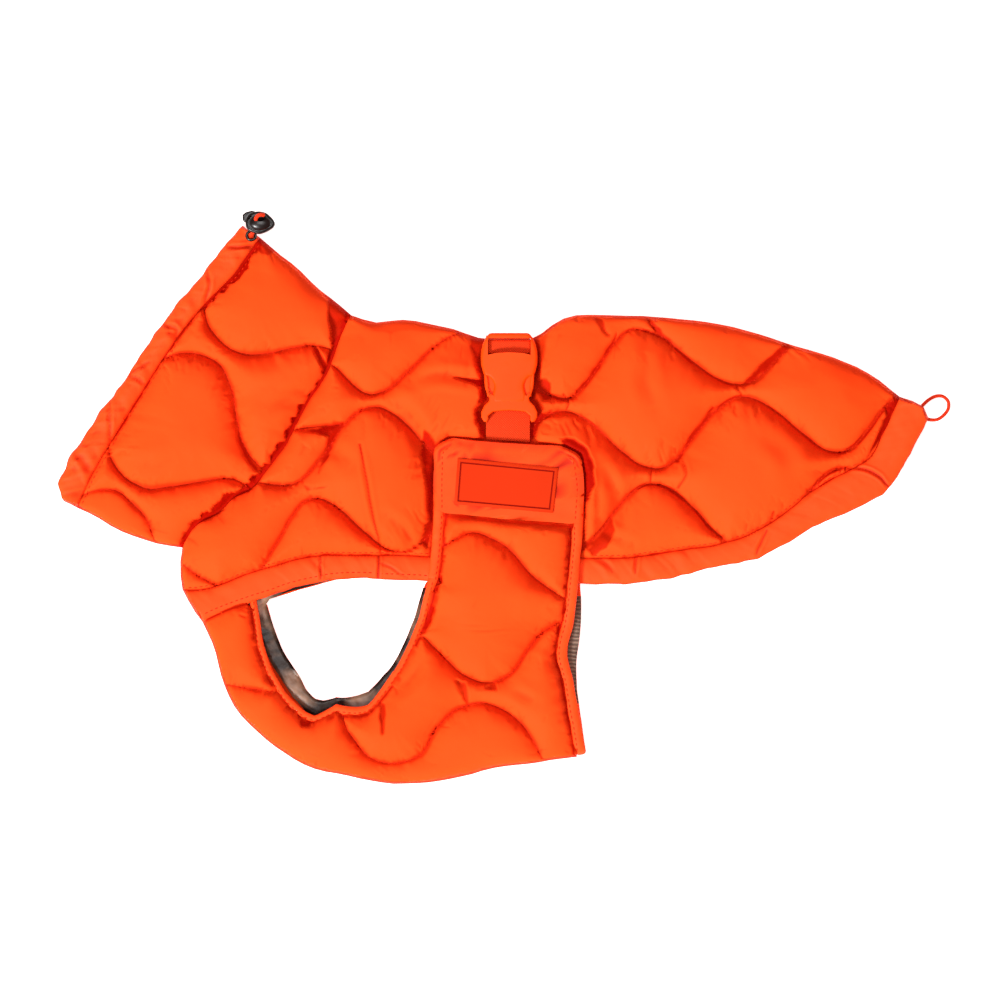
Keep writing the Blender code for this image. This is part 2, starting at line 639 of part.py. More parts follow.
def make_channel(finish):
    """Gathered band round the head opening, which holds the drawstring."""
    tip = np.array([CHANNEL_SEAM[0], HEAD_EDGE[0]], float)
    toe = np.array([HEAD_EDGE[-1], CHANNEL_SEAM[-1]], float)
    head = smooth(HEAD_EDGE)
    seam = shifted(smooth(CHANNEL_SEAM)[::-1], GAP / 2)
    heights = (channel_outer, level(NEAR_LOW), level(FAR_TOP), level(0.0))
    runs = [[head], [seam]]
    return folded_panel("drawstring_channel", [tip, toe], runs, runs, heights, finish, grid=GATHER * 1.4,
                        step=GATHER)


def band_outer(edges):
    """Outer face of a hem band between its two edges."""
    def outer(points):
        rise = BAND_PUFF * dome(distance_to(edges, points), BAND_REACH)
        return NEAR_LOW + SEAM_WALL - BAND_DROP + rise * np.maximum(pressed(points), 0.3)
    return outer


def make_front_hem(finish):
    """Turned hem from the chest to under the flap."""
    fold = smooth(CHEST_HEM_FRONT)
    top = shifted(smooth(HEM_TOP_FRONT)[::-1], GAP / 2)
    near = shifted(smooth(HEM_LOW_NEAR), GAP / 2)
    far = shifted(smooth(HEM_LOW_FAR), GAP / 2)
    heights = (band_outer([near, top]), level(NEAR_LOW), level(FAR_TOP), body_recess)
    runs = []
    for low in (near, far):
        end = np.array([low[-1] - (GAP, 0), top[0] - (GAP, 0)])
        low[-1], first = end[0], top.copy()
        first[0] = end[1]
        runs.append([[low, end, first]])
    return folded_panel("front_hem_band", [fold], runs[0], runs[1], heights, finish, grid=7.0)


def make_rear_hem(finish):
    """Turned hem from under the flap to the tail."""
    fold = smooth(TAIL_NOSE)
    top = shifted(smooth(HEM_TOP_REAR)[::-1], GAP / 2)
    low = smooth(HEM_LOW_REAR)
    end = np.array([top[-1], low[0]])
    runs = [[top, end, low]]
    heights = (band_outer([low, top]), level(NEAR_LOW), level(FAR_TOP), body_recess)
    return folded_panel("rear_hem_band", [fold], runs, runs, heights, finish, grid=7.0)


def chest_run(flap_table, arm_table, hem_table):
    """Open edge of a chest half: flap, leg opening, then the seam to the hem band."""
    tape = BINDING + 2 * GAP
    flap = shifted(smooth(flap_table), tape)
    arm = smooth(arm_table)
    share = eased(np.linspace(0, 6, len(arm))[:, None])
    widths = tape + (ARM_BINDING + 2 * GAP - tape) * share
    arm = arm + normals(arm) * widths
    flap[-1] = arm[0]
    hem = shifted(smooth(hem_table), -GAP)
    seam = hem[hem[:, 0] < arm[-1][0] - 1.0][::-1]
    arm[-1] = seam[0]
    return [flap, arm, seam]


def make_chest_panel(finish):
    """Chest panel with the belly flap, folded along the belly round the leg opening."""
    fold = smooth(BELLY_FOLD)
    near = chest_run(FLAP_EDGE_NEAR, ARM_EDGE_NEAR, HEM_LOW_NEAR)
    far = chest_run(FLAP_EDGE_FAR, ARM_EDGE_FAR, HEM_LOW_FAR)
    corner = near[0][:1]
    fold = np.vstack([fold[fold[:, 0] < corner[0][0] - FINE], corner])
    seams = [smooth(row) for row in FLAP_SEAMS]
    yoke_low = smooth(YOKE_LOW)

    def outer(points):
        rise = swelling(points, seams, near, [fold], FLAP_PUFF, FLAP_REACH)
        yoke_line = np.interp(points[:, 0], yoke_low[:, 0], yoke_low[:, 1])
        below_yoke = eased((yoke_line - YOKE_RUN[0] - points[:, 1]) / YOKE_RUN[1])
        plain = YOKE_FLOOR - FLAP_LOW
        on_body = climb(points) > 0.98
        free = np.where(on_body & (points[:, 0] > -60), below_yoke, 1.0)
        return flap_under(points) + plain * (1 - free) + free * (SEAM_WALL + rise)

    heights = (outer, flap_under, far_flap_top, level(0.0))
    return folded_panel("chest_panel", [fold], [near], [far], heights, finish, seams, step=6.5, plain=GRID)


HEM_SLOPE = (-0.93, -0.37, 0.0)
TAPE_SECTION = ((0.0, 0.0), (0.0, 2.6), (0.5, BINDING_THICK), (1.0, 2.6), (1.0, 0.0))


def tape_stations(path, base, out, width):
    """Stations of a tape that lies flat along a path, from its height function."""
    across = normals(path)
    heights = base(path)
    return [((x, y, z), (ax, ay, 0.0), (0.0, 0.0, out), width)
            for (x, y), z, (ax, ay) in zip(path, heights, across)]


def make_bindings(finish):
    """Binding tapes of the flap, round the belly fold from near to far, and of the leg opening."""
    near = trimmed(smooth(FLAP_EDGE_NEAR), ROLL, 0.0, TAPE_STEP)
    far = trimmed(smooth(FLAP_EDGE_FAR), ROLL, 0.0, TAPE_STEP)
    near_stations = tape_stations(near, flap_under, 1.0, BINDING)[::-1]
    far_stations = tape_stations(far, level(FAR_TAPE_BASE), -1.0, BINDING)
    x, y = BELLY_FOLD[-1]
    turn = []
    middle = (NEAR_LOW + BINDING_THICK) / 2
    across = near_stations[-1][1]
    for angle in (45, 0, -45):
        out_y, out_z = -math.cos(math.radians(angle)), math.sin(math.radians(angle))
        point_y = y + ROLL + out_y * (ROLL - BINDING_THICK)
        point_z = middle + out_z * (middle - BINDING_THICK)
        turn.append(((x + 0.2, point_y, point_z), across, (0.0, out_y, out_z), BINDING))
    sweep("flap_binding", near_stations + turn + far_stations, TAPE_SECTION, finish)
    for name, table, base, out in (("leg_binding_near", ARM_EDGE_NEAR, flap_under, 1.0),
                                   ("leg_binding_far", ARM_EDGE_FAR, level(FAR_TAPE_BASE), -1.0)):
        path = trimmed(smooth(table), GAP, 2 * GAP, 5.0)
        stations = tape_stations(path, base, out, ARM_BINDING)
        stations[-1] = (stations[-1][0], HEM_SLOPE, stations[-1][2], ARM_BINDING)
        sweep(name, stations, TAPE_SECTION, finish)


def make_linings(finish):
    """Lining where it shows: round the leg opening and behind the flap's rear edge."""
    far = trimmed(smooth(ARM_EDGE_FAR), 5.0, 1.5, 7.0)
    hem = smooth(((-126.5, -52.9), (-110, -47.7), (-93, -42.9)), 7.0)
    path = np.vstack([far, hem])
    ring = np.vstack([shifted(path, -0.2)[::-1], shifted(path, 9.0)])

    def low(points):
        return far_flap_top(points) + (LINING_LOW - FAR_TOP) + LINING_LIFT * eased(4 * climb(points))

    def high(points):
        return low(points) + LINING_HIGH - LINING_LOW

    slab("leg_lining", ring[::-1], low, high, finish, grid=12.0)
    edge = trimmed(smooth(FLAP_EDGE_FAR), 30.0, 0.0, STEP)
    edge = edge[edge[:, 1] < HEM_Y - 3.0]
    ring = np.vstack([shifted(edge, 0.2)[::-1], shifted(edge, 12.0)])
    slab("flap_lining", ring[::-1], low, high, finish, grid=12.0)


def make_label(yoke_finish, label_finish):
    """Plain yoke across the top of the flap, and the bare label on it."""
    inner = shifted(smooth(FLAP_EDGE_NEAR, 5.0), BINDING + 1.0)
    line = smooth(YOKE_LOW, 12.0)
    upper = inner[inner[:, 1] > np.interp(inner[:, 0], line[:, 0], line[:, 1]) + 1.0]
    lower = line[(line[:, 0] > upper[-1][0] + 0.5) & (line[:, 0] < upper[0][0] - 0.5)]
    loop = np.vstack([upper, lower])
    floor = YOKE_FLOOR + GAP
    slab("label_yoke", loop, level(floor), level(floor + YOKE_THICK), yoke_finish)
    low = floor + YOKE_THICK + GAP
    build = bmesh.new()
    base = build.faces.new([build.verts.new(in_frame((x, y, low))) for x, y in LABEL_CORNERS])
    raised = bmesh.ops.extrude_face_region(build, geom=[base])["geom"]
    lid = [f for f in raised if isinstance(f, bmesh.types.BMFace)][0]
    bmesh.ops.translate(build, verts=list(lid.verts), vec=(0, 0, LABEL_THICK * MM))
    for width, rise in LABEL_RINGS:
        bmesh.ops.inset_region(build, faces=[lid], thickness=width * MM, use_even_offset=True)
        bmesh.ops.translate(build, verts=list(lid.verts), vec=(0, 0, rise * MM))
    bmesh.ops.recalc_face_normals(build, faces=build.faces)
    mesh = bpy.data.meshes.new("label_plate")
    build.to_mesh(mesh)
    build.free()
    add_object("label_plate", mesh, label_finish)


def make_strap(finish):
    """Webbing: a lower length from the flap to the buckle, an upper one over the back."""
    left, right = STRAP_X - STRAP_WIDTH / 2, STRAP_X + STRAP_WIDTH / 2
    low, high = DECK_TOP + GAP, DECK_TOP + GAP + STRAP_THICK
    box = np.array([(left, 37.2), (right, 35.6), (right, 58.0), (left, 58.0)])
    slab("strap_lower", box, level(low), level(high), finish)
    reach = ROLL + GAP + 0.4
    middle = (DECK_TOP + GAP) / 2
    half = STRAP_THICK / 2
    path = [(80.0, low, 0.0, 1.0)]
    turns = 10
    for i in range(turns + 1):
        angle = math.pi * (0.5 - i / turns)
        out_y, out_z = math.cos(angle), math.sin(angle)
        z = middle + half + out_z * (middle - half)
        path.append((STRAP_FOLD_Y - ROLL + out_y * reach, z, out_y, out_z))
    path.append((38.0, STRAP_THICK, 0.0, -1.0))
    stations = [((left, y, z), (1.0, 0.0, 0.0), (0.0, oy, oz), STRAP_WIDTH) for y, z, oy, oz in path]
    section = ((0.0, 0.0), (1.0, 0.0), (1.0, STRAP_THICK), (0.0, STRAP_THICK))
    sweep("strap_upper", stations, section, finish)


def make_buckle(finish):
    """Side-release buckle: the socket with its webbing slot, and the prong piece in it."""
    low = DECK_TOP + STRAP_THICK + 2 * GAP
    right = [(STRAP_X + x, y) for x, y in SOCKET_HALF]
    left = [(STRAP_X - x, y) for x, y in reversed(SOCKET_HALF)]
    socket = plate("buckle_socket", right + left, low, BUCKLE_THICK, BUCKLE_EDGE, finish)
    bpy.ops.mesh.primitive_cube_add(size=1)
    slot = bpy.context.active_object
    slot.scale = (2 * SLOT_HALF_WIDTH * MM, (SLOT_Y[1] - SLOT_Y[0]) * MM, 0.04)
    slot.location = in_frame((STRAP_X, sum(SLOT_Y) / 2, low))
    cut(socket, "slot_cutter", slot)
    arch = [(STRAP_X + 7, PRONG_ARCH_Y - 0.6), (STRAP_X - 7, PRONG_ARCH_Y - 0.6)]
    right = [(STRAP_X + x, y) for x, y in PRONG_HALF]
    left = [(STRAP_X - x, y) for x, y in reversed(PRONG_HALF)]
    outline = right + left + [arch[1], (STRAP_X, PRONG_ARCH_Y), arch[0]]
    plate("buckle_prongs", outline, low, BUCKLE_THICK - 0.8, 0.9, finish)


def ring(name, centre, radius, thick, low, finish, sides=16):
    """Small eyelet ring with a square section."""
    points, faces = [], []
    for i in range(sides):
        angle = 2 * math.pi * i / sides
        for share, height in ((-1, 0), (1, 0), (0.6, 1), (-0.6, 1)):
            r = radius + thick * share
            x, y = centre[0] + r * math.cos(angle), centre[1] + r * math.sin(angle)
            points.append((x, y, low + thick * height))
    for i in range(sides):
        for j in range(4):
            a, b = 4 * i + j, 4 * i + (j + 1) % 4
            c, d = 4 * ((i + 1) % sides) + (j + 1) % 4, 4 * ((i + 1) % sides) + j
            faces.append((a, b, c, d))
    return solid(name, points, faces, finish)


def make_cord_lock(black, cord):
    """Eyelet, cord lock with its button, and the end of the drawstring with its knot."""
    base = float(channel_outer(np.array([EYELET_CENTRE]))[0]) + 2 * GAP
    ring("eyelet", EYELET_CENTRE, EYELET_RADIUS, EYELET_THICK, base, black)
    low = base + LOCK_LIFT
    body = [(LOCK_CENTRE[0] + x, LOCK_CENTRE[1] + y) for x, y in LOCK_OUTLINE]
    lock = plate("cord_lock_body", body, low, LOCK_THICK, 1.8, black)
    bpy.ops.mesh.primitive_cylinder_add(vertices=20, radius=LOCK_HOLE * MM, depth=0.04,
                                        location=in_frame((*LOCK_CENTRE, low)))
    cut(lock, "hole_cutter", bpy.context.active_object)
    button = [(LOCK_CENTRE[0] + x - 0.5, LOCK_CENTRE[1] + y) for x, y in LOCK_BUTTON]
    plate("cord_lock_button", button[::-1], low + 1.2, LOCK_THICK - 2.4, 0.6, black)
    ex, ey = EYELET_CENTRE
    lx, ly = LOCK_CENTRE
    lying = low - CORD_RADIUS - GAP
    top = low + LOCK_THICK
    bend = (ex + (lx - ex) * 0.2, ey + (ly - ey) * 0.2, lying)
    route = [(ex, ey, base - GAP), (ex, ey, base + 1.0), bend, (lx, ly, lying), (lx, ly, top)]
    tube("drawstring_end", route, CORD_RADIUS, cord)
    bpy.ops.mesh.primitive_ico_sphere_add(subdivisions=2, radius=KNOT_RADIUS * MM)
    knot = bpy.context.active_object
    knot.name = "drawstring_knot"
    knot.scale = (1.0, 1.0, KNOT_FLATNESS)
    knot.location = in_frame((*LOCK_CENTRE, top + GAP + KNOT_RADIUS * KNOT_FLATNESS))
    knot.data.materials.append(cord)


def tube(name, route, radius, finish):
    """Round cord along a route, as a curve with filled caps."""
    curve = bpy.data.curves.new(name, 'CURVE')
    curve.dimensions = '3D'
    curve.bevel_depth = radius * MM
    curve.bevel_resolution = 2
    curve.use_fill_caps = True
    spline = curve.splines.new('POLY')
    spline.points.add(len(route) - 1)
    for slot, point in zip(spline.points, route):
        slot.co = (*in_frame(point), 1.0)
    curve.materials.append(finish)
    made = bpy.data.objects.new(name, curve)
    bpy.context.collection.objects.link(made)
    return made


def main():
    """Build every piece of the coat."""
    for old in list(bpy.data.objects):
        bpy.data.objects.remove(old, do_unlink=True)
    cloth = material("Padded cloth", CLOTH, 0.55)
    tape = material("Binding tape", TAPE, 0.6)
    lining = material("Lining", LINING, 0.45)
    plastic = material("Buckle plastic", ORANGE_PLASTIC, 0.35)
    black = material("Cord lock plastic", BLACK_PLASTIC, 0.3)
    elastic = material("Elastic cord", TAPE, 0.6)
    webbing = material("Webbing", TAPE, 0.65)
    label = material("Label", TAPE, 0.5)
    make_back_panel(cloth)
    make_collar(cloth)
    make_channel(cloth)
    make_front_hem(cloth)
    make_rear_hem(cloth)
    make_chest_panel(cloth)
    make_bindings(tape)
    make_linings(lining)
    make_label(cloth, label)
    make_strap(webbing)
    make_buckle(plastic)
    make_cord_lock(black, elastic)
    tube("tail_loop", smooth(TAIL_LOOP, 3.0), LOOP_RADIUS, elastic)


main()
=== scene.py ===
"""Dressed model of a quilted winter coat for a dog, laid flat on its side.

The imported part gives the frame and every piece's place. This file makes the finer cloth, its
stitching, the webbing, the moulded buckle and the cord lock, and gives each of them its finish.
Tables and sizes are in millimetres from the middle of the cloth, as in the part's source, unless
a comment says otherwise. Meshes are in metres.
"""

import logging
import math
from collections.abc import Callable, Sequence
from dataclasses import dataclass
from enum import Enum

import bmesh
import bpy
import numpy as np
from mathutils import Matrix, Vector
from mathutils.bvhtree import BVHTree


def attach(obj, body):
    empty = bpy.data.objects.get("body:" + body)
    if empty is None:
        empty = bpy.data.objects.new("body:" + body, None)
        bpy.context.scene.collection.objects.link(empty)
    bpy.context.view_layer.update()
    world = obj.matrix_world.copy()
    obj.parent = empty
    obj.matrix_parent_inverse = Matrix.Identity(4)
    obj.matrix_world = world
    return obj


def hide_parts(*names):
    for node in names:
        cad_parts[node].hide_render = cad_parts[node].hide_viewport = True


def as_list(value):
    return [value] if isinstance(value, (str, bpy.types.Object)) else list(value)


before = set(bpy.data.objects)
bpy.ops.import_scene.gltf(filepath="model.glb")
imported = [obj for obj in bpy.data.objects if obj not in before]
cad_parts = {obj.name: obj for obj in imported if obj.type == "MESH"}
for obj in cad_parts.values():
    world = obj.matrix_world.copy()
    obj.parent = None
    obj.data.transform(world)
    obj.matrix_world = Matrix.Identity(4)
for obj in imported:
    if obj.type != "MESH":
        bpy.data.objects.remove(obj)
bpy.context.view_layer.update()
LOG = logging.getLogger("coat")

MM = 0.001
FRAME_SHIFT_Y = -4.3  # the cloth's middle from the part's own origin, along Y

# Heights above the surface.
NEAR_LOW = 10.5  # inner face of every near half
NEAR_FACE = 11.8  # lowest point of a near half's outer face
SEAM_WALL = 3.0  # wall thickness along a quilting seam or an edge
DECK_TOP = 15.4  # the pressed body under the flap, the strap and the buckle
FLAP_LOW = 16.3  # inner face of the flap where it lies over the body
YOKE_FLOOR = 20.0  # the flap's outer face under the yoke
BADGE_LOW = 22.1  # underside of the label's plate
ABOVE_ALL = 60.0  # rays that look for the cloth start here

# Sizes along the surface.
GAP = 0.3  # clearance between pieces that touch
CLIMB = 22.0  # the flap comes down from the body to the belly over this length
OVER_BODY_X = -70.0  # and it lies over the body to the right of this
HEM_Y = -45.0  # lowest edge of the body's hem under the flap
CHEST_SEAM_X = -134.0  # the hem is joined to the chest panel forward of this
BINDING = 6.3  # width of the flap's binding tape
ARM_BINDING = 4.3  # width of the leg opening's binding tape
TAPE_OVERLAP = 0.35  # the quilted cloth reaches this far under a tape
STRAP_X = 8.5  # middle of the webbing
STRAP_THICK = 1.5
BUCKLE_X = STRAP_X + 0.7  # middle of the buckle
CORD_STEP = 0.9  # from point to point of a cord

SWELL_STEPS = 12  # frames that the padding swells for
DOWN = Vector((0, 0, -1))
AWAY_FROM_KEY = np.array([0.64, 0.77, 0.0])  # painted shade on flanks facing away from the key light

Array = np.ndarray
Mesh = bmesh.types.BMesh
Piece = bpy.types.Object
Shading = Callable[[Array], Array]  # a value at each flat point


# Outlines. Columns: x, y. Each pair is one station along the edge.
BACK_EDGE = (
    (231.5, 61.5), (215.5, 74), (195.5, 83), (165.5, 92.5), (137, 101), (110, 105), (85, 107),
    (59, 108), (41, 106.5), (31, 101), (24, 95), (8.5, 94.2), (-7, 95), (-25.5, 101), (-53, 105),
    (-66, 103.5), (-80.5, 108))
NECK_SEAM = (
    (-80.5, 108), (-86, 96), (-94.5, 74), (-106, 55.5), (-116, 36.5), (-127, 22), (-137, 8.5),
    (-147.5, 3), (-155.5, -5), (-168.5, -12), (-177, -24))
CHEST_FRONT = ((-177, -24), (-178, -36), (-176.5, -48.5))
HEM_TOP_FRONT = (
    (-176.5, -48.5), (-167.5, -48.5), (-137.5, -38.5), (-97.5, -29), (-87, -28.5), (-38.5, -29),
    (7, -30))
HEM_TOP_REAR = (
    (7, -30), (54.5, -30.5), (82, -29.5), (105, -26), (132, -21.5), (158.5, -10), (182, 8),
    (202, 19.5), (212.5, 25.5), (222, 41.5), (231.5, 61.5))
HEM_LOW_NEAR = (
    (-165.5, -66.5), (-157, -62.5), (-132.5, -53.5), (-95, -43), (-37.5, -43.5), (7, -44.5))
HEM_LOW_REAR = (
    (7, -44.5), (53, -45), (78.5, -44.5), (102, -41.5), (122, -36.5), (152, -29.5), (183.5, -12),
    (209.5, -0.5), (224, 9.5), (237, 29.5), (247.5, 49.5))
COLLAR_TOP = (
    (-80.5, 108), (-86.5, 113.5), (-101, 124.5), (-113.5, 137), (-120.5, 142), (-132.5, 152))
CHANNEL_SEAM = (
    (-132.5, 152), (-147.5, 130.5), (-162, 116), (-178, 97), (-187.5, 82.5), (-197, 68),
    (-208.5, 49.5), (-216.5, 36.5), (-227, 18.5), (-236.5, -1.5))
COLLAR_LOW = ((-236.5, -1.5), (-224.5, -7), (-211.5, -15), (-194.5, -21), (-177, -24))
HEAD_EDGE = (
    (-142, 158.5), (-163, 133.5), (-187.5, 103.5), (-207.5, 74), (-229, 44.5), (-242.5, 22.5),
    (-247, 10), (-244, 2.5))
BELLY_FOLD = (
    (-165.5, -66.5), (-159, -80), (-153.5, -100), (-148, -113), (-134.5, -129), (-118, -141.5),
    (-102, -149.5), (-82.5, -154), (-66, -157.5), (-45, -158.5), (-25.5, -156), (4, -149),
    (28.5, -146), (52.5, -143))
FLAP_EDGE_NEAR = (
    (52.5, -143), (48.5, -113), (45, -96.5), (42, -85), (46, -65.5), (48.5, -46), (51, -14),
    (51.5, 18), (49.5, 27.5), (40.5, 32.5), (20, 34.5), (-5, 36.3), (-25, 37), (-32, 33), (-33, 20),
    (-34.5, -14), (-37, -42.5))
ARM_EDGE_NEAR = (
    (-37, -42.5), (-42, -63), (-47, -77), (-53.5, -89.5), (-59.5, -99), (-69, -110.5), (-81, -117),
    (-94, -118.5), (-107, -117), (-116.5, -108.5), (-125.5, -92), (-129.5, -79.5), (-131.5, -66.5),
    (-132.5, -53.9))
YOKE_RIDGE = ((-24.4, 27.3), (-21, 29), (-6.2, 29.9), (36.4, 24.6), (43.2, 25.6), (46, 21))
YOKE_LOW = ((-33, -4.5), (8.5, -8.5), (50, -11.7))

# Quilting waves of the body. Columns: x, y of each crest or trough, which half waves join.
BODY_WAVES = (
    ((-98, 82), (-70, 62.5), (-17, 97), (41, 60), (80, 99.5), (140, 68), (186, 100)),
    ((-150, 16), (-118, 11), (-68, 55.5), (-15, 19), (40.5, 53), (92, 20.5), (141, 61.5), (197, 30),
     (236, 64)),
    ((-140, -42), (-103, 4), (-52, -27), (-13, 2), (40, -30), (90, 12), (146, -26), (199, 21),
     (228, 10)),
)

# Shorter seams and deep folds. Columns: x, y of points on a smooth curve.
BODY_SEAMS = (
    ((-180, -31), (-165.5, -41.5), (-155.5, -45.5), (-141, -41)),
    ((85, 109), (92, 99), (102, 89.5)),
    ((-111.5, 43), (-87.5, 45.5)),
)
DART = ((-75.5, 34), (-71.5, 14), (-67, -12), (-64.2, -24), (-64.8, -42))
COLLAR_SEAMS = (
    ((-165, 118), (-160, 99), (-145, 86), (-132.5, 85), (-103, 90.5), (-84, 86)),
    ((-192, 80), (-178, 86), (-165.5, 85), (-155.5, 79.5), (-149.5, 68), (-145.5, 50.5),
     (-142, 34.5), (-124, 14)),
    ((-219, 38), (-216.5, 25), (-210, 16), (-197, 9), (-184.5, 10), (-165.5, 13), (-147.5, 15),
     (-134, 6)),
    ((-238, 3), (-226, 8), (-214.5, 8), (-205, 1), (-197, -8), (-191, -24)),
)
FLAP_SEAMS = (
    ((-36, -38), (-27.5, -23.5), (-12.5, -16), (0.5, -19.5), (25, -42.5), (46, -57)),
    ((-44, -70), (-32, -82), (-17, -96), (-4, -101.5), (5.5, -99), (28.5, -72), (45, -63)),
    ((-90, -113), (-79, -134), (-69.5, -143.5), (-54.5, -146.5), (-41.5, -142), (-32, -126),
     (-20.5, -116), (-5.5, -112.5), (7.5, -117), (26.5, -140.5), (30, -150)),
    ((-153, -102), (-121, -107.5)),
)
BUCKLE_ZONE = np.array([
    (-3.5, 30), (-3.7, 46), (-6.9, 48), (-7.0, 53), (-5.0, 57), (-2.8, 60), (-4.4, 64), (-5.2, 70),
    (-5.6, 75), (-7.0, 80), (-7.3, 84), (-6.7, 89), (-4.6, 94.6), (-2, 98.5), (-2, 112),
    (20.4, 112), (20.4, 98.5), (23.0, 94.6), (25.1, 89), (25.7, 84), (25.4, 80), (24.0, 75),
    (23.6, 70), (22.8, 64), (21.2, 60), (23.4, 57), (25.4, 53), (25.3, 48), (21.8, 46), (21.8, 30)])

# Folds that fall away from the cloth round them. Columns: outline, depth, painted shade.
BODY_HOLLOWS = (
    (((-79.5, 109.5), (-68.7, 105.5), (-61.3, 107.5), (-35.8, 106.5), (-21.6, 103.5), (-6.2, 97.5),
      (-5.7, 92), (-13.1, 94.3), (-24.4, 97.1), (-38.6, 98.8), (-50, 99.4), (-57.4, 97.1),
      (-65.3, 98.8), (-72.1, 101.7)), 0.8, 0.35),
    (((-13.1, 98.8), (-4, 95.4), (-5.7, 84.9), (-4.5, 71.8), (-9.1, 76.1), (-10.5, 84.9),
      (-13.1, 91.4)), 2.2, 0.85),
    (((-24.4, 73.3), (-13.1, 72.1), (-4.5, 71.9), (-4.5, 68.2), (-8.5, 67.3), (-14.2, 69.3),
      (-21.6, 71.6)), 2.6, 0.95),
    (((-6.8, 67.6), (-4, 67.6), (-2.3, 60.8), (-5.7, 57.4), (-8.5, 58.5), (-7.4, 63)), 1.8, 0.9),
    (((-9.1, 56.2), (-6.8, 52.8), (-5.1, 47.7), (-4, 38.1), (-7.4, 36.9), (-8.5, 45.4),
      (-9.7, 51.1)), 1.8, 0.9),
    (((21, 98.8), (25, 97.1), (27.3, 89.2), (27.5, 81.2), (25.6, 73.3), (22.7, 73.3), (24.4, 82.4),
      (23.9, 90.3), (21.6, 94.3)), 2.0, 0.9),
    (((22.7, 71), (30.1, 71.8), (32.9, 69.3), (32.9, 59.6), (28.7, 59.1), (26.1, 63),
      (22.7, 64.2)), 2.4, 0.85),
    (((23.3, 51.3), (33.5, 53.4), (32.4, 51.8), (29.5, 50), (26.1, 44.4), (23.9, 37.9),
      (19.3, 36.9), (19.9, 46.6), (22.7, 49.2)), 2.2, 0.95),
    (((38.1, 37.5), (46.6, 37.5), (53.6, 32.2), (57.4, 22.2), (57.4, 11.4), (54.6, 2.8), (51.1, -1),
      (49.4, 11.4), (48.3, 21), (44.9, 27.8), (39.8, 31.8)), 2.6, 0.95),
    (((-39.2, 42.6), (-34.6, 39.6), (-31.4, 33.5), (-31.9, 22.7), (-33.1, 2.8), (-34.8, -14.2),
      (-37.5, -24.4), (-40.9, -21.6), (-37.5, -8.5), (-37, 6.8), (-38.6, 18.7),
      (-40.3, 30.1)), 1.8, 0.9),
    (((222.1, 55.1), (229.5, 61.9), (231.7, 60.8), (227.2, 51.7), (223.2, 42.6), (217.5, 33.5),
      (211.9, 26.7), (214.7, 32.9), (219.8, 42.6), (223.2, 50.6)), 1.5, 0.95),
    (((142.6, 69.3), (147.1, 75), (154.5, 81.8), (165.9, 92), (169.3, 90.9), (163, 84.6),
      (156.2, 77.8), (148.8, 71.6), (144.3, 68.2)), 1.4, 0.9),
    (((46.6, 64.8), (52.3, 70.4), (58.5, 79), (64.8, 89.2), (69.9, 98.3), (71, 96.6), (67, 88.6),
      (60.8, 77.8), (54.5, 68.7), (48.3, 63.6)), 1, 0.9),
    (((103.4, 25), (107.9, 31.8), (113, 39.8), (119.3, 48.3), (125, 56.8), (126.1, 55.1),
      (121, 47.1), (114.7, 38.1), (109.1, 30.1), (105.1, 23.9)), 1, 0.9),
    (((86.9, 105.1), (89.7, 105.1), (96.6, 97.1), (106.2, 88), (116.4, 79.5), (117, 76.7),
      (111.9, 80.1), (101.7, 89.2), (93.7, 95.4)), 0.8, 0.85),
    (((67.4, -4.5), (69.3, -14.2), (64.6, -24.4), (56.8, -29.4), (53.2, -25.6), (60.8, -15.9),
      (64.6, -8.5)), 1.6, 0.8),
    (((57.4, 106.2), (63, 105.6), (64.2, 98.8), (67, 95.4), (61.9, 99.4)), 1.6, 0.8),
    (((-107.4, 42), (-99.4, 43.5), (-89.7, 46), (-83.5, 47.1), (-84.6, 43.2), (-88.6, 38.6),
      (-91.4, 32.4), (-93.7, 26.1), (-99.4, 17.6), (-97.7, 24.4), (-94.9, 32.4), (-93.2, 38.6),
      (-99.4, 40.9)), 1.8, 0.9),
    (((-106.8, 10.8), (-100.5, 10.2), (-93.7, 10.8), (-95.4, 9.7), (-105.1, 8.5)), 1, 0.7),
)
COLLAR_HOLLOWS = (
    (((-94, 121), (-79.5, 110), (-81, 103.9), (-85.6, 96), (-89.6, 86.9), (-91.7, 93.7),
      (-92.9, 105.1)), 4.6, 0.85),
    (((-102.5, 90.3), (-99.4, 88), (-96, 82.4), (-92, 75.5), (-93.4, 72.1), (-97.1, 77.8),
      (-101.1, 84.6)), 2.4, 0.9),
    (((-94, 86.3), (-90.6, 85.2), (-90.9, 81.2), (-92.9, 83.5)), 1.6, 0.9),
    (((-134.6, 150.5), (-130.1, 153.2), (-122.3, 146.4), (-127.8, 141.4),
      (-133.5, 143.7)), 0.5, 0.8),
    (((-149.1, 65.3), (-147.7, 65.9), (-145.1, 52.8), (-143.1, 38.6), (-138.3, 27.8),
      (-132.3, 19.9), (-134, 18.2), (-140.3, 26.1), (-144.8, 36.9), (-147.1, 51.1)), 1, 0.85),
    (((-132.9, 151.7), (-130.6, 150.5), (-136.9, 141.4), (-144.8, 132.3), (-153.9, 123.3),
      (-163, 113), (-164.7, 114.2), (-156.2, 125), (-147.1, 135.2), (-139.2, 144.8)), 1.2, 0.85),
)
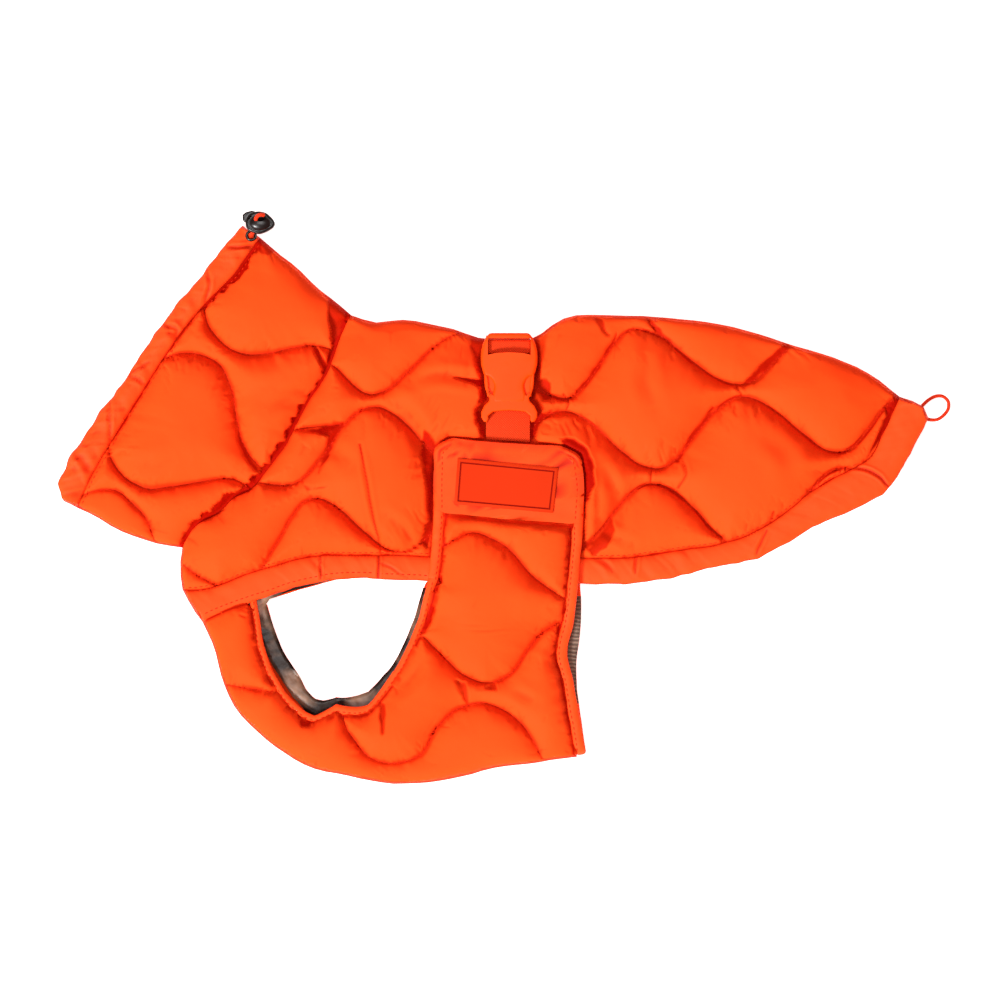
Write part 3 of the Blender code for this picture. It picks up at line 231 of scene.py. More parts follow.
CHEST_HOLLOWS = (
    (((-110.2, -122.2), (-102.8, -120.9), (-103.5, -125.6), (-108.5, -125.6)), 1.4, 0.9),
    (((-63.8, -112.1), (-61.2, -113.4), (-61.7, -129.3), (-63.3, -129.8),
      (-64.4, -118.7)), 1.8, 0.8),
    (((-21.4, -98.8), (-15.6, -100.7), (-12.9, -115.5), (-16.9, -109.6)), 1.5, 0.7),
    (((1.1, -100.7), (3, -106), (-4.1, -104.1)), 1.2, 0.7),
    (((44.3, -11.5), (46.9, -12.5), (43.3, -29.3), (43, -36.3), (40.7, -34.5), (41.6, -25.6),
      (43.3, -16.9)), 1.8, 0.95),
    (((-34.4, -30.1), (-31.8, -31.2), (-30.4, -45.4), (-31.8, -55.7), (-34.6, -65.3),
      (-38.1, -73.3), (-40.3, -74.4), (-38.1, -62.5), (-35.8, -54), (-34.6, -45.4)), 2.2, 0.95),
)
FLAP_OUTLINE = np.array([(52.5, -60), *FLAP_EDGE_NEAR[4:], (-40, -60)])
FLAP_ZONE = np.array([(-40, -60), (54, -60), (53, 34), (-30, 38)])
YOKE_ZONE = np.array([(-24, 25), (44, 25), (44, 45), (-24, 45)])
# Kink in the leg opening's edge. Rows: x, shift in y.
ARM_KINK = ((-118, -112, -101, -89, -71, -62), (0, 0.6, -1.2, 5.8, -1.8, 0.6))
# Creases across the quilting. Columns: line, depth, half width, lean, painted shade.
BODY_CREASES = (
    (DART, 0.9, 1.3, 0.0, 0.9),
    (((137.2, 68.7), (139.2, 65.3), (142, 60.8)), 0.8, 1.0, 0.0, 0.9),
    (((90.3, 19.9), (89.7, 17), (89.2, 13.1)), 0.8, 1.0, 0.0, 0.9),
    (((107.4, 26.1), (109.6, 18.2), (105.1, 9.7)), 0.8, 1.2, 0.0, 0.7),
    (((40.3, 62.5), (43.2, 58.5), (41.5, 53.4)), 0.9, 1.0, 0.0, 0.9),
    (((159, -4.5), (155.6, -14.2), (150, -24.4)), 0.9, 1.2, 0.0, 0.8),
    (((-44, 70), (-33, 73), (-18, 72), (-4, 70)), 1.6, 3.4, 0.4),
    (((-60, 62), (-45, 47), (-39, 30)), 1.6, 4.0),
    (((88, 88), (86, 70), (92, 55)), 1.2, 4.5),
    (((60, 24), (70, 6), (73, -14)), 1.5, 3.5, 0.3),
    (((58, -6), (66, -16), (78, -22)), 1.4, 3.0),
    (((24, 53), (34, 52.5), (47, 56)), 1.6, 2.2, 0.3),
    (((-105, 30), (-92, 32), (-80, 22)), 1.3, 4.0),
    (((-60, -6), (-50, -16), (-44, -25)), 1.3, 3.2),
    (((150, 40), (165, 30), (170, 14)), 0.9, 5.0),
)
COLLAR_CREASES = (
    (((-150, 66), (-130, 62), (-112, 66)), 1.0, 6.0),
    (((-128, 52), (-116, 60), (-100, 66)), 1.2, 4.0),
    (((-205, 24), (-190, 22), (-178, 28)), 0.9, 5.0),
)
CHEST_CREASES = (
    (((-38, -88), (-46, -98), (-60, -108)), 1.3, 4.0),
    (((10, -104), (16, -108), (24, -112)), 1.1, 3.0),
)
CHANNEL_CREASES = (
    (((-148.8, 146.1), (-140.3, 146.3), (-132.5, 147.7)), 1.0, 1.1, 0.0, 0.7),
    (((-161.9, 133.5), (-160.8, 125.1), (-163.5, 115.6)), 1.0, 1.1, 0.0, 0.7),
    (((-188.1, 103.0), (-178.7, 99.9), (-180.6, 94.6)), 1.0, 1.1, 0.0, 0.5),
    (((-207.0, 73.6), (-200.5, 78.4), (-194.8, 81.2)), 1.0, 1.1, 0.0, 0.5),
    (((-207.0, 73.6), (-201.6, 71.6), (-197.7, 68.3)), 1.0, 1.1, 0.0, 0.5),
    (((-217.5, 57.8), (-217.3, 48.3), (-217.5, 36.8)), 1.0, 1.1, 0.0, 0.6),
)
FRONT_HEM_CREASES = (
    (((-97.4, -28.4), (-97.7, -34.6), (-98, -41.5)), 0.7, 0.8, 0.0, 0.8),
    (((-64.5, -22.7), (-64.8, -32.4), (-65, -43.2)), 0.7, 0.8, 0.0, 0.9),
    (((-64.8, -32.4), (-57.4, -35.8), (-48.3, -41.5)), 0.5, 0.8, 0.0, 0.5),
)
REAR_HEM_CREASES = (
    (((189.1, 18.7), (194.3, 20.7), (201.6, 21.6), (211.9, 19.9), (219.8, 16.5), (224.9, 10.2)),
     1.2, 1.0, 0.0, 0.9),
    (((82.9, -27.3), (81.2, -32.4), (80.7, -38.1)), 0.9, 1.0, 0.0, 0.8),
    (((155.6, -14.2), (152.8, -19.9), (150, -26.7)), 0.8, 1.0, 0.0, 0.8),
    (((174.4, 2.8), (181.2, 8.5), (190.3, 16.5)), 1.0, 1.6, 0.0, 0.5),
    (((57.4, -29), (64.2, -33.5), (67.6, -38.1)), 0.8, 1.6, 0.0, 0.6),
)


class Held(str, Enum):
    """How a sheet of cloth is held."""

    FOLDED = "folded"
    LAID = "laid"


class Slot(str, Enum):
    """The record's material slots."""

    CLOTH = "padded_cloth"
    TAPE = "binding_tape"
    SATIN = "satin_lining"
    FLEECE = "fleece_lining"
    LABEL = "label_rubber"
    WEBBING = "webbing"
    BUCKLE = "buckle_plastic"
    EYELET = "eyelet_metal"
    LOCK = "lock_plastic"
    CORD = "elastic_cord"


# ---------------- curves and noise


def evenly(points: Sequence, step: float) -> Array:
    """Resample a polyline.

    Args:
        points: The polyline's points.
        step: Wanted distance between points.

    Returns:
        Evenly spaced points, the ends kept.
    """
    points = np.asarray(points, float)
    along = np.concatenate([[0.0], np.cumsum(np.linalg.norm(np.diff(points, axis=0), axis=1))])
    stops = np.linspace(0.0, along[-1], max(2, round(along[-1] / step) + 1))
    return np.stack([np.interp(stops, along, column) for column in points.T], axis=1)


def smooth_curve(table: Sequence, step: float = 2.5) -> Array:
    """Smooth curve through a table's points.

    Args:
        table: Points on the curve.
        step: Wanted distance between the curve's points.

    Returns:
        Points of the curve.
    """
    points = np.asarray(table, float)
    if len(points) < 3:
        return evenly(points, step)
    spans = np.linalg.norm(np.diff(points, axis=0), axis=1)[:, None]
    slopes = np.diff(points, axis=0) / spans
    inner = (slopes[:-1] * spans[1:] + slopes[1:] * spans[:-1]) / (spans[:-1] + spans[1:])
    tangents = np.vstack([slopes[:1], inner, slopes[-1:]])
    dense = []
    for i, span in enumerate(spans[:, 0]):
        for t in np.linspace(0.0, 1.0, 12, endpoint=False):
            rise = t * t * (3 - 2 * t)
            dense.append(points[i] * (1 - rise) + points[i + 1] * rise
                         + tangents[i] * t * (1 - t) ** 2 * span
                         + tangents[i + 1] * t * t * (t - 1) * span)
    return evenly(np.vstack([dense, points[-1:]]), step)


def smooth_curves(tables: Sequence) -> list[Array]:
    """Smooth curves through several tables."""
    return [smooth_curve(table) for table in tables]


def half_waves(table: Sequence, step: float = 2.5) -> Array:
    """Half waves between a table's crests and troughs.

    Args:
        table: Crests and troughs in order.
        step: Wanted distance between the curve's points.

    Returns:
        Points of the curve.
    """
    dense = []
    for (x0, y0), (x1, y1) in zip(table[:-1], table[1:]):
        for t in np.linspace(0.0, 1.0, 16, endpoint=False):
            dense.append((x0 + (x1 - x0) * t, y0 + (y1 - y0) * (1 - math.cos(math.pi * t)) / 2))
    return evenly(dense + [table[-1]], step)


def shifted(points: Array, distance: float) -> Array:
    """A flat polyline moved sideways.

    Args:
        points: The polyline.
        distance: How far it moves to its left.

    Returns:
        The moved points.
    """
    ahead = np.gradient(np.asarray(points, float), axis=0)
    ahead /= np.linalg.norm(ahead, axis=1)[:, None]
    return points + np.stack([-ahead[:, 1], ahead[:, 0]], axis=1) * distance


def eased(value: Array) -> Array:
    """Smooth step from 0 to 1."""
    value = np.clip(value, 0.0, 1.0)
    return value * value * (3 - 2 * value)


def dome(distance: Array, reach: float) -> Array:
    """Rise of the padding with the distance from a seam, from 0 to 1."""
    return (1 - (1 - np.clip(distance / reach, 0, 1)) ** 2) ** 0.52


def bell(distance: Array, width: float) -> Array:
    """Soft bump of a half width: 1 in its middle, 0 far away."""
    return np.exp(-(distance / width) ** 2)


def ripple(along: Array, size: float, seed: int) -> Array:
    """Smooth noise along a line.

    Args:
        along: Places on the line.
        size: Length of one bump.
        seed: Which of the noises.

    Returns:
        Values from -1 to 1.
    """
    table = np.random.default_rng(seed).uniform(-1, 1, 512)
    place = np.asarray(along) / size + 64
    low = np.floor(place).astype(int)
    share = eased(place - low)
    return table[low % 512] * (1 - share) + table[(low + 1) % 512] * share


def rumple(points: Array, size: tuple[float, float], turn: float, seed: int) -> Array:
    """Smooth noise over the cloth, longer one way than the other.

    Args:
        points: Flat points.
        size: Length and width of one bump.
        turn: Direction of the length, in degrees from +X.
        seed: Which of the noises.

    Returns:
        Values from -1 to 1.
    """
    table = np.random.default_rng(seed).uniform(-1, 1, (64, 64))
    angle = math.radians(turn)
    axes = np.array([[math.cos(angle), math.sin(angle)], [-math.sin(angle), math.cos(angle)]])
    place = points @ axes.T / np.array(size) + 32
    low = np.floor(place).astype(int)
    share = eased(place - low)
    i, j = low[:, 0] % 64, low[:, 1] % 64
    i2, j2 = (i + 1) % 64, (j + 1) % 64
    left = table[i, j] * (1 - share[:, 1]) + table[i, j2] * share[:, 1]
    right = table[i2, j] * (1 - share[:, 1]) + table[i2, j2] * share[:, 1]
    return left * (1 - share[:, 0]) + right * share[:, 0]


@dataclass
class Reading:
    """Where points lie beside a curve: distance, place along it, side and nearest point."""

    distance: Array
    along: Array
    side: Array
    foot: Array


def read_beside(curve: Array, points: Array) -> Reading:
    """Measure points against one flat curve.

    Args:
        curve: The curve's points.
        points: The points to measure.

    Returns:
        The reading of every point.
    """
    start, run = curve[:-1], np.diff(curve, axis=0)
    spans = np.linalg.norm(run, axis=1)
    before = np.concatenate([[0.0], np.cumsum(spans)[:-1]])
    parts = []
    for first in range(0, len(points), 4096):
        some = points[first:first + 4096]
        offset = some[:, None] - start[None]
        share = np.clip((offset * run).sum(2) / np.maximum((run * run).sum(1), 1e-12), 0, 1)
        gap = offset - share[..., None] * run
        far = np.linalg.norm(gap, axis=2)
        best = far.argmin(1)
        rows = np.arange(len(some))
        near_gap, near_share = gap[rows, best], share[rows, best]
        turned = run[best, 0] * near_gap[:, 1] - run[best, 1] * near_gap[:, 0]
        along = before[best] + near_share * spans[best]
        parts.append((far[rows, best], along, np.sign(turned), some - near_gap))
    return Reading(*(np.concatenate(column) for column in zip(*parts)))


def nearest(curves: Sequence[Array], points: Array) -> tuple[Array, Array]:
    """Distance and nearest point on any of several curves.

    Args:
        curves: The curves.
        points: The points to measure.

    Returns:
        The distances and the nearest points.
    """
    distance, foot = np.full(len(points), 1e9), np.array(points, float)
    for curve in curves:
        reading = read_beside(curve, points)
        closer = reading.distance < distance
        distance[closer], foot[closer] = reading.distance[closer], reading.foot[closer]
    return distance, foot


def outside_by(corners: Array, points: Array) -> Array:
    """Distance of each point outside a closed outline.

    Args:
        corners: The outline's corners.
        points: The points to measure.

    Returns:
        The distances, negative inside.
    """
    inside = np.zeros(len(points), bool)
    x, y = points[:, 0], points[:, 1]
    for (x0, y0), (x1, y1) in zip(corners, np.roll(corners, -1, axis=0)):
        slope = (x1 - x0) / (y1 - y0) if y1 != y0 else 0.0
        inside ^= ((y0 > y) != (y1 > y)) & (x < x0 + slope * (y - y0))
    distance = read_beside(np.vstack([corners, corners[:1]]), points).distance
    return np.where(inside, -distance, distance)


# ---------------- materials

WEAVE = "weave"  # a finish's own threads or ribs, among its patterns
BANDS_IN_A_METRE = 3.183  # what a wave texture of scale 1 draws
PAINTED_SHADE_LAYER = "crease"  # attribute with the painted shade, from 0 to 1


def linear(colour: str) -> tuple[float, float, float, float]:
    """An sRGB colour as linear values.

    Args:
        colour: The colour, as in #A0B1C2.

    Returns:
        Red, green, blue and an alpha of 1.
    """
    parts = [int(colour[i:i + 2], 16) / 255 for i in (1, 3, 5)]
    values = [c / 12.92 if c <= 0.04045 else ((c + 0.055) / 1.055) ** 2.4 for c in parts]
    return (values[0], values[1], values[2], 1.0)


def add_node(tree: bpy.types.NodeTree, kind: str, inputs: dict | None = None,
             **settings) -> bpy.types.Node:
    """Add a node with its settings, values and links.

    Args:
        tree: The material's node tree.
        kind: The node's type.
        inputs: Values or sockets, by the input's name or number.
        settings: The node's own properties.

    Returns:
        The new node.
    """
    node = tree.nodes.new(kind)
    for key, value in settings.items():
        setattr(node, key, value)
    for key, value in (inputs or {}).items():
        if isinstance(value, bpy.types.NodeSocket):
            tree.links.new(value, node.inputs[key])
        else:
            node.inputs[key].default_value = value
    return node


@dataclass(frozen=True)
class Finish:
    """A surface: two colours that follow a pattern, its gloss and its relief.

    A pattern is named by the size of its soft patches in millimetres, or it is WEAVE.
    """

    name: str
    slot: Slot
    colour: str
    shade: str
    roughness: float = 0.5
    specular: float = 0.5
    sheen: float = 0.0
    metallic: float = 0.0
    crease: str = ""  # colour of the painted shade in folds and valleys
    tinted_by: float | str = 25.0  # pattern that the two colours follow
    span: tuple[float, float] = (0.0, 1.0)  # part of it that they run over
    gloss_mm: float = 5.0  # patches of gloss
    spread: float = 0.05  # how far the roughness varies
    relief: tuple = ()  # rows of a pattern and its depth in millimetres
    pitch_mm: float = 0.0  # from thread to thread
    turn: float = 0.0  # direction of the threads in degrees
    bands: str = "XY"
    distortion: float = 0.4

    def build(self) -> bpy.types.Material:
        """Make the material, unless it is there already.

        Returns:
            The material.
        """
        made = bpy.data.materials.get(self.name)
        if made:
            return made
        made = bpy.data.materials.new(self.name)
        made.use_nodes = True
        made.diffuse_color = linear(self.colour)
        tree = made.node_tree
        shader = tree.nodes["Principled BSDF"]
        fixed = {"Metallic": self.metallic, "Specular IOR Level": self.specular,
                 "Sheen Weight": self.sheen, "Sheen Roughness": 0.45}
        for socket, value in fixed.items():
            shader.inputs[socket].default_value = value
        patterns = self.patterns(tree)
        gloss = add_node(tree, "ShaderNodeMapRange", {
            "Value": patterns[self.gloss_mm], "To Min": self.roughness - self.spread,
            "To Max": self.roughness + self.spread})
        tree.links.new(gloss.outputs["Result"], shader.inputs["Roughness"])
        tree.links.new(self.tint(tree, patterns), shader.inputs["Base Color"])
        normal = {}
        for pattern, depth in self.relief:
            inputs = {"Height": patterns[pattern], "Distance": depth * MM, "Strength": 1.0}
            bump = add_node(tree, "ShaderNodeBump", inputs | normal)
            normal = {"Normal": bump.outputs["Normal"]}
        tree.links.new(normal["Normal"], shader.inputs["Normal"])
        return made

    def patterns(self, tree: bpy.types.NodeTree) -> dict:
        """Draw every pattern that the finish uses.

        Args:
            tree: The material's node tree.

        Returns:
            Sockets from 0 to 1, by the name of their pattern.
        """
        place = add_node(tree, "ShaderNodeTexCoord").outputs["Object"]
        used = {self.tinted_by, self.gloss_mm, *(pattern for pattern, _ in self.relief)}
        drawn = {size: add_node(tree, "ShaderNodeTexNoise", {
            "Vector": place, "Scale": 1000 / size, "Detail": 3.0}).outputs["Fac"]
            for size in sorted(used - {WEAVE})}
        if WEAVE not in used:
            return drawn
        turned = add_node(tree, "ShaderNodeMapping", {
            "Vector": place, "Rotation": (0, 0, math.radians(self.turn))}).outputs["Vector"]
        for direction in self.bands:
            wave = add_node(tree, "ShaderNodeTexWave", {
                "Vector": turned, "Scale": 1000 / self.pitch_mm / BANDS_IN_A_METRE,
                "Distortion": self.distortion}, bands_direction=direction).outputs["Fac"]
            if WEAVE in drawn:
                wave = add_node(tree, "ShaderNodeMath", {0: drawn[WEAVE], 1: wave},
                                operation="MULTIPLY").outputs[0]
            drawn[WEAVE] = wave
        return drawn

    def tint(self, tree: bpy.types.NodeTree, patterns: dict) -> bpy.types.NodeSocket:
        """Mix the two colours, and mix in the painted shade colour where the attribute marks it.

        Args:
            tree: The material's node tree.
            patterns: Sockets by the name of their pattern.

        Returns:
            The colour's socket.
        """
        factor = add_node(tree, "ShaderNodeMapRange", {
            "Value": patterns[self.tinted_by], "From Min": self.span[0],
            "From Max": self.span[1]}).outputs["Result"]
        colour = add_node(tree, "ShaderNodeMix", {
            0: factor, 6: linear(self.shade), 7: linear(self.colour)}, data_type="RGBA").outputs[2]
        # painted shade: the shade colour mixed in by the cloth's painted shade attribute
        if self.crease:
            painted_shade = add_node(tree, "ShaderNodeAttribute", attribute_name=PAINTED_SHADE_LAYER)
            colour = add_node(tree, "ShaderNodeMix", {
                0: painted_shade.outputs["Fac"], 6: colour, 7: linear(self.crease)},
                data_type="RGBA").outputs[2]
        return colour


@dataclass(frozen=True)
class ShellNylon(Finish):
    """Calendered nylon taffeta over padding.

    The smooth tight weave gives a soft satin light on each swelling and fine crinkles where the
    padding gives way. Its colour is nearly even, with a dark red painted shade in its creases,
    valleys and flanks turned away from the light.
    """

    # dark red of the painted shade
    crease: str = "#A00200"
    tinted_by: float | str = 45.0
    gloss_mm: float = 9.0
    spread: float = 0.06
    relief: tuple = ((22.0, 0.5), (7.0, 0.2), (WEAVE, 0.012))
    pitch_mm: float = 1.3  # real threads are 0.15 mm apart, drawn coarser so that they show


@dataclass(frozen=True)
class TapeCloth(Finish):
    """Folded nylon binding tape: a rib every millimetre or so across it, and a dull light."""

    tinted_by: float | str = 18.0
    relief: tuple = ((5.0, 0.35), (WEAVE, 0.02))
    pitch_mm: float = 1.1  # real ribs are finer, drawn coarser so that they show
    turn: float = 35.0


@dataclass(frozen=True)
class WovenWebbing(Finish):
    """Flat nylon webbing: raised yarns in a close zigzag across it, painted shade between them."""

    tinted_by: float | str = WEAVE
    span: tuple[float, float] = (0.05, 0.45)
    gloss_mm: float = 4.0
    relief: tuple = ((WEAVE, 0.22),)
    pitch_mm: float = 0.95  # real yarns are finer, drawn coarser so that they show
    turn: float = 45.0


@dataclass(frozen=True)
class Satin(Finish):
    """Satin lining: smooth dark floats, with painted highlights in pale streaks on its folds."""

    tinted_by: float | str = 22.0
    span: tuple[float, float] = (0.44, 0.7)
    gloss_mm: float = 8.0
    spread: float = 0.06
    relief: tuple = ((16.0, 1.4), (3.0, 0.12))


@dataclass(frozen=True)
class Fleece(Finish):
    """Brushed lining in narrow ribs: matt, with short pile that breaks up the light."""

    tinted_by: float | str = WEAVE
    gloss_mm: float = 0.9
    relief: tuple = ((WEAVE, 0.5), (0.9, 0.2))
    pitch_mm: float = 2.2
    bands: str = "Y"
    distortion: float = 1.5


@dataclass(frozen=True)
class Moulded(Finish):
    """Injection moulded plastic or soft rubber: an even colour and a faint spark-eroded grain."""

    gloss_mm: float = 3.0
    spread: float = 0.04
    relief: tuple = ((0.8, 0.015),)  # real grain is finer, drawn coarser so that it shows


@dataclass(frozen=True)
class Braid(Finish):
    """Braided elastic cord or twisted thread: slanting strands seen as small bumps."""

    tinted_by: float | str = WEAVE
    gloss_mm: float = 2.0
    relief: tuple = ((WEAVE, 0.12),)
    pitch_mm: float = 0.9  # real strands are finer, drawn coarser so that they show
    turn: float = 30.0


# Bright padded cloth with a soft light on its swellings.
SHELL = ShellNylon("Nylon shell, padded", Slot.CLOTH, "#FF501C", "#FF4915", 0.6, 0.02)
# The same cloth turned double, a shade redder and a little glossier.
SHELL_TRIM = ShellNylon("Nylon shell, hem", Slot.CLOTH, "#FF4E18", "#FF4713", 0.64, 0.12)
# Ribbed, dull and a shade deeper than the shell.
TAPE = TapeCloth("Nylon binding tape", Slot.TAPE, "#FF501A", "#FF4814", 0.64, 0.12)
# Coarse and matt, with painted shade in the gaps between its yarns. Deeper than the shell,
# partly as painted shade from the buckle over it.
WEBBING = WovenWebbing("Nylon webbing", Slot.WEBBING, "#E84614", "#BE2E06", 0.7, 0.15)
# Nearly black, with painted highlights in bronze streaks.
SATIN = Satin("Satin lining", Slot.SATIN, "#A08068", "#1A100A", 0.38, 0.3)
# Grey-brown and soft.
FLEECE = Fleece("Brushed lining", Slot.FLEECE, "#8A7566", "#5A4A40", 0.85, 0.2, sheen=0.3)
# Deep matt red, with painted shade in the sunk line of its frame and at its foot.
LABEL = Moulded("Label, soft PVC", Slot.LABEL, "#CC3208", "#C42E06", 0.6, 0.06, crease="#8C0A02")
# Even and a little translucent to the eye, with soft wide lights.
ACETAL = Moulded("Buckle, acetal", Slot.BUCKLE, "#FF4A04", "#FA4403", 0.5, 0.12)
# Black with small sharp lights.
BLACK_NYLON = Moulded("Cord lock, black nylon", Slot.LOCK, "#0C0D0E", "#070808", 0.3, 0.4)
# Dark metal that mirrors the sky.
EYELET_METAL = Moulded("Eyelet, gunmetal plated brass", Slot.EYELET, "#3A3634", "#2C2826", 0.25,
                       metallic=1.0)
# Strands that catch the light one by one.
CORD = Braid("Braided elastic cord", Slot.CORD, "#FF4A14", "#C82A08", 0.6, 0.2)
# Fine dots sunk in the cloth, a darker red as painted shade of their needle holes.
THREAD = Braid("Polyester thread", Slot.TAPE, "#F03406", "#C82204", 0.7, 0.15, pitch_mm=0.5)


# ---------------- meshes


def in_cloth(places: Array) -> Array:
    """Places in metres as millimetres from the middle of the cloth."""
    return places / MM - np.array([0.0, FRAME_SHIFT_Y, 0.0])


def to_flat(mesh: Mesh) -> Array:
    """Positions of a mesh's vertices in millimetres from the middle of the cloth."""
    return in_cloth(np.array([v.co for v in mesh.verts]))


def rows_of(items: bpy.types.bpy_prop_collection, name: str, size: int = 3,
            kind: type = float) -> Array:
    """A property of every item of a mesh.

    Args:
        items: Its vertices, edges or normals.
        name: The property's name.
        size: How many values it has.
        kind: Type of the values.

    Returns:
        One row for each item.
    """
    values = np.empty(len(items) * size, kind)
    items.foreach_get(name, values)
    return values.reshape(-1, size)


def in_frame(point: Sequence[float]) -> Vector:
    """A table's point in metres, in the part's own frame."""
    return Vector((point[0] * MM, (point[1] + FRAME_SHIFT_Y) * MM, point[2] * MM))


def strayed(flat: Array) -> Array:
    """Flat points as the cloth really lies: it wanders a little, and kinks at the leg opening.

    Args:
        flat: Points of the even layout.

    Returns:
        The moved points.
    """
    moved = np.array(flat, float)
    for axis in (0, 1):
        moved[:, axis] += (0.32 * rumple(flat, (9, 9), 20, 301 + axis)
                           + 0.4 * rumple(flat, (21, 21), 50, 303 + axis))
    near_edge = bell(nearest([smooth_curve(ARM_EDGE_NEAR)], flat)[0], 8)
    moved[:, 1] += np.interp(flat[:, 0], *ARM_KINK) * near_edge * (flat[:, 1] < -95)
    return moved


def move_to(mesh: Mesh, spots: Array, final: bool = False) -> None:
    """Put a mesh's vertices at new positions.

    Args:
        mesh: The mesh.
        spots: Positions in millimetres from the middle of the cloth.
        final: Whether they are strayed, as the cloth really lies.
    """
    if final:
        spots = np.column_stack([strayed(spots[:, :2]), spots[:, 2]])
    for vertex, spot in zip(mesh.verts, spots):
        vertex.co = in_frame(spot)


def facing(mesh: Mesh) -> Array:
    """How far each vertex looks up, from -1 to 1."""
    return np.array([v.normal.z for v in mesh.verts])


def close_up(spots: Array, edges: Sequence[Array], closing: float, overlap: float,
             flat: Array | None = None) -> None:
    """Sew the vertices that lie close to some edges to them, reaching a little past them.

    Args:
        spots: Positions of the vertices, moved in place.
        edges: The edges.
        closing: Vertices this close are sewn.
        overlap: How far they reach past the edge.
        flat: Where the vertices count as lying, if not at their spots.
    """
    if flat is None:
        flat = spots[:, :2].copy()
    away, foot = nearest(edges, flat)
    near = (away < closing) & (away > 1e-6)
    spots[near, :2] = foot[near] + (foot[near] - flat[near]) / away[near][:, None] * overlap


def node_copy(node: str) -> Mesh:
    """A merged copy of the mesh of one of the part's nodes.

    Args:
        node: The node's name.

    Returns:
        The mesh.
    """
    mesh = bmesh.new()
    mesh.from_mesh(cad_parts[node].data)
    bmesh.ops.remove_doubles(mesh, verts=mesh.verts, dist=1e-5)
    mesh.normal_update()
    return mesh


def edges_of(faces: Sequence[bmesh.types.BMFace]) -> list[bmesh.types.BMEdge]:
    """Every edge of some faces, once."""
    return list({edge for face in faces for edge in face.edges})


def upper_edges(mesh: Mesh, height: float,
                tilt: float = 0.05) -> list[bmesh.types.BMEdge]:
    """Edges of the faces that look up by at least the tilt and lie above a height."""
    return edges_of([face for face in mesh.faces
                     if face.normal.z > tilt and face.calc_center_median().z > height * MM])


def split(mesh: Mesh, edges: Sequence[bmesh.types.BMEdge], cuts: int) -> None:
    """Cut each edge some times, and turn all faces into triangles."""
    bmesh.ops.subdivide_edges(mesh, edges=edges, cuts=cuts, use_grid_fill=True)
    bmesh.ops.triangulate(mesh, faces=mesh.faces)


def add_object(name: str, source: Mesh | bpy.types.ID) -> Piece:
    """Add an object to the scene.

    Args:
        name: The object's name.
        source: Its data, or the mesh that it holds.

    Returns:
        The object.
    """
    data = source
    if isinstance(source, Mesh):
        data = bpy.data.meshes.new(name)
        source.to_mesh(data)
    made = bpy.data.objects.new(name, data)
    bpy.context.collection.objects.link(made)
    return made


def add_piece(name: str, mesh: Mesh, finish: Finish, nodes: Sequence[str] = (),
              sharp: float = 180.0) -> Piece:
    """Turn a mesh into a finished piece that rides on the coat.

    Args:
        name: The piece's name.
        mesh: Its mesh.
        finish: Its finish.
        nodes: The nodes that it stands for.
        sharp: Edges above this angle stay sharp, in degrees.

    Returns:
        The piece.
    """
    piece = add_object(name, mesh)
    piece.data.materials.append(finish.build())
    smooth_shaded(piece.data, sharp)
    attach(piece, "root")
    if nodes:
        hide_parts(*nodes)
    return piece


def smooth_shaded(data: bpy.types.Mesh, sharp: float) -> None:
    """Shade a mesh smooth, apart from its sharp edges.

    Args:
        data: The mesh.
        sharp: Edges above this angle stay sharp, in degrees.
    """
    data.shade_smooth()
    if sharp < 180:
        data.set_sharp_from_angle(angle=math.radians(sharp))


def blurred(values: Array, ends: Array, rounds: int) -> Array:
    """Average values over neighbouring vertices.

    Args:
        values: One value for each vertex.
        ends: The two vertices of every edge.
        rounds: How often to average.

    Returns:
        The averaged values.
    """
    values = np.array(values, float)
    count = np.bincount(ends.ravel(), minlength=len(values))
    for _ in range(rounds):
        total = np.bincount(ends[:, 0], values[ends[:, 1]], len(values))
        total += np.bincount(ends[:, 1], values[ends[:, 0]], len(values))
        values = (values + total) / (1 + count)
    return values


def store_painted_shade(piece: Piece, painted_shade: Array) -> None:
    """Store the painted shade of each vertex, from 0 to 1, where the finish reads it."""
    layer = piece.data.attributes.new(PAINTED_SHADE_LAYER, "FLOAT", "POINT")
    layer.data.foreach_set("value", painted_shade.astype(np.float32))


def mark_painted_shade(piece: Piece, painted_shade: Array) -> None:
    """Store a cloth's painted shade, in its folds, valleys and flanks away from the light.

    Args:
        piece: The piece.
        painted_shade: Painted shade from its own folds and seams at each vertex, from 0 to 1.
    """
    data = piece.data
    heights = rows_of(data.vertices, "co")[:, 2] / MM
    ends = rows_of(data.edges, "vertices", 2, np.int64)
    near, wide = blurred(heights, ends, 4), blurred(heights, ends, 24)
    # painted shade in valleys below the blurred heights, and on flanks turned away from the key
    # light
    valley = (np.clip((near - heights) / 0.3, 0, 1) * 0.3
              + np.clip((wide - heights) / 1.0, 0, 1) * 0.25)
    normals = rows_of(data.vertex_normals, "vector")
    shaded_flank = eased((normals @ AWAY_FROM_KEY - 0.14) / 0.5)
    valley = np.maximum(valley, 0.45 * (shaded_flank * eased((normals[:, 2] - 0.15) / 0.4)))
    store_painted_shade(piece, np.clip(np.maximum(painted_shade, valley), 0, 1))


def painted_shade_along(seams: Sequence[Array], flat: Array, strength: float,
                half: float | Array = 0.5) -> Array:
    """Painted shade in each seam's uneven groove, which is about two halves wide."""
    width = half * (1 + 0.5 * rumple(flat, (12, 12), 40, 171))
    return strength * eased((width - nearest(seams, flat)[0]) / 0.9 + 0.5)


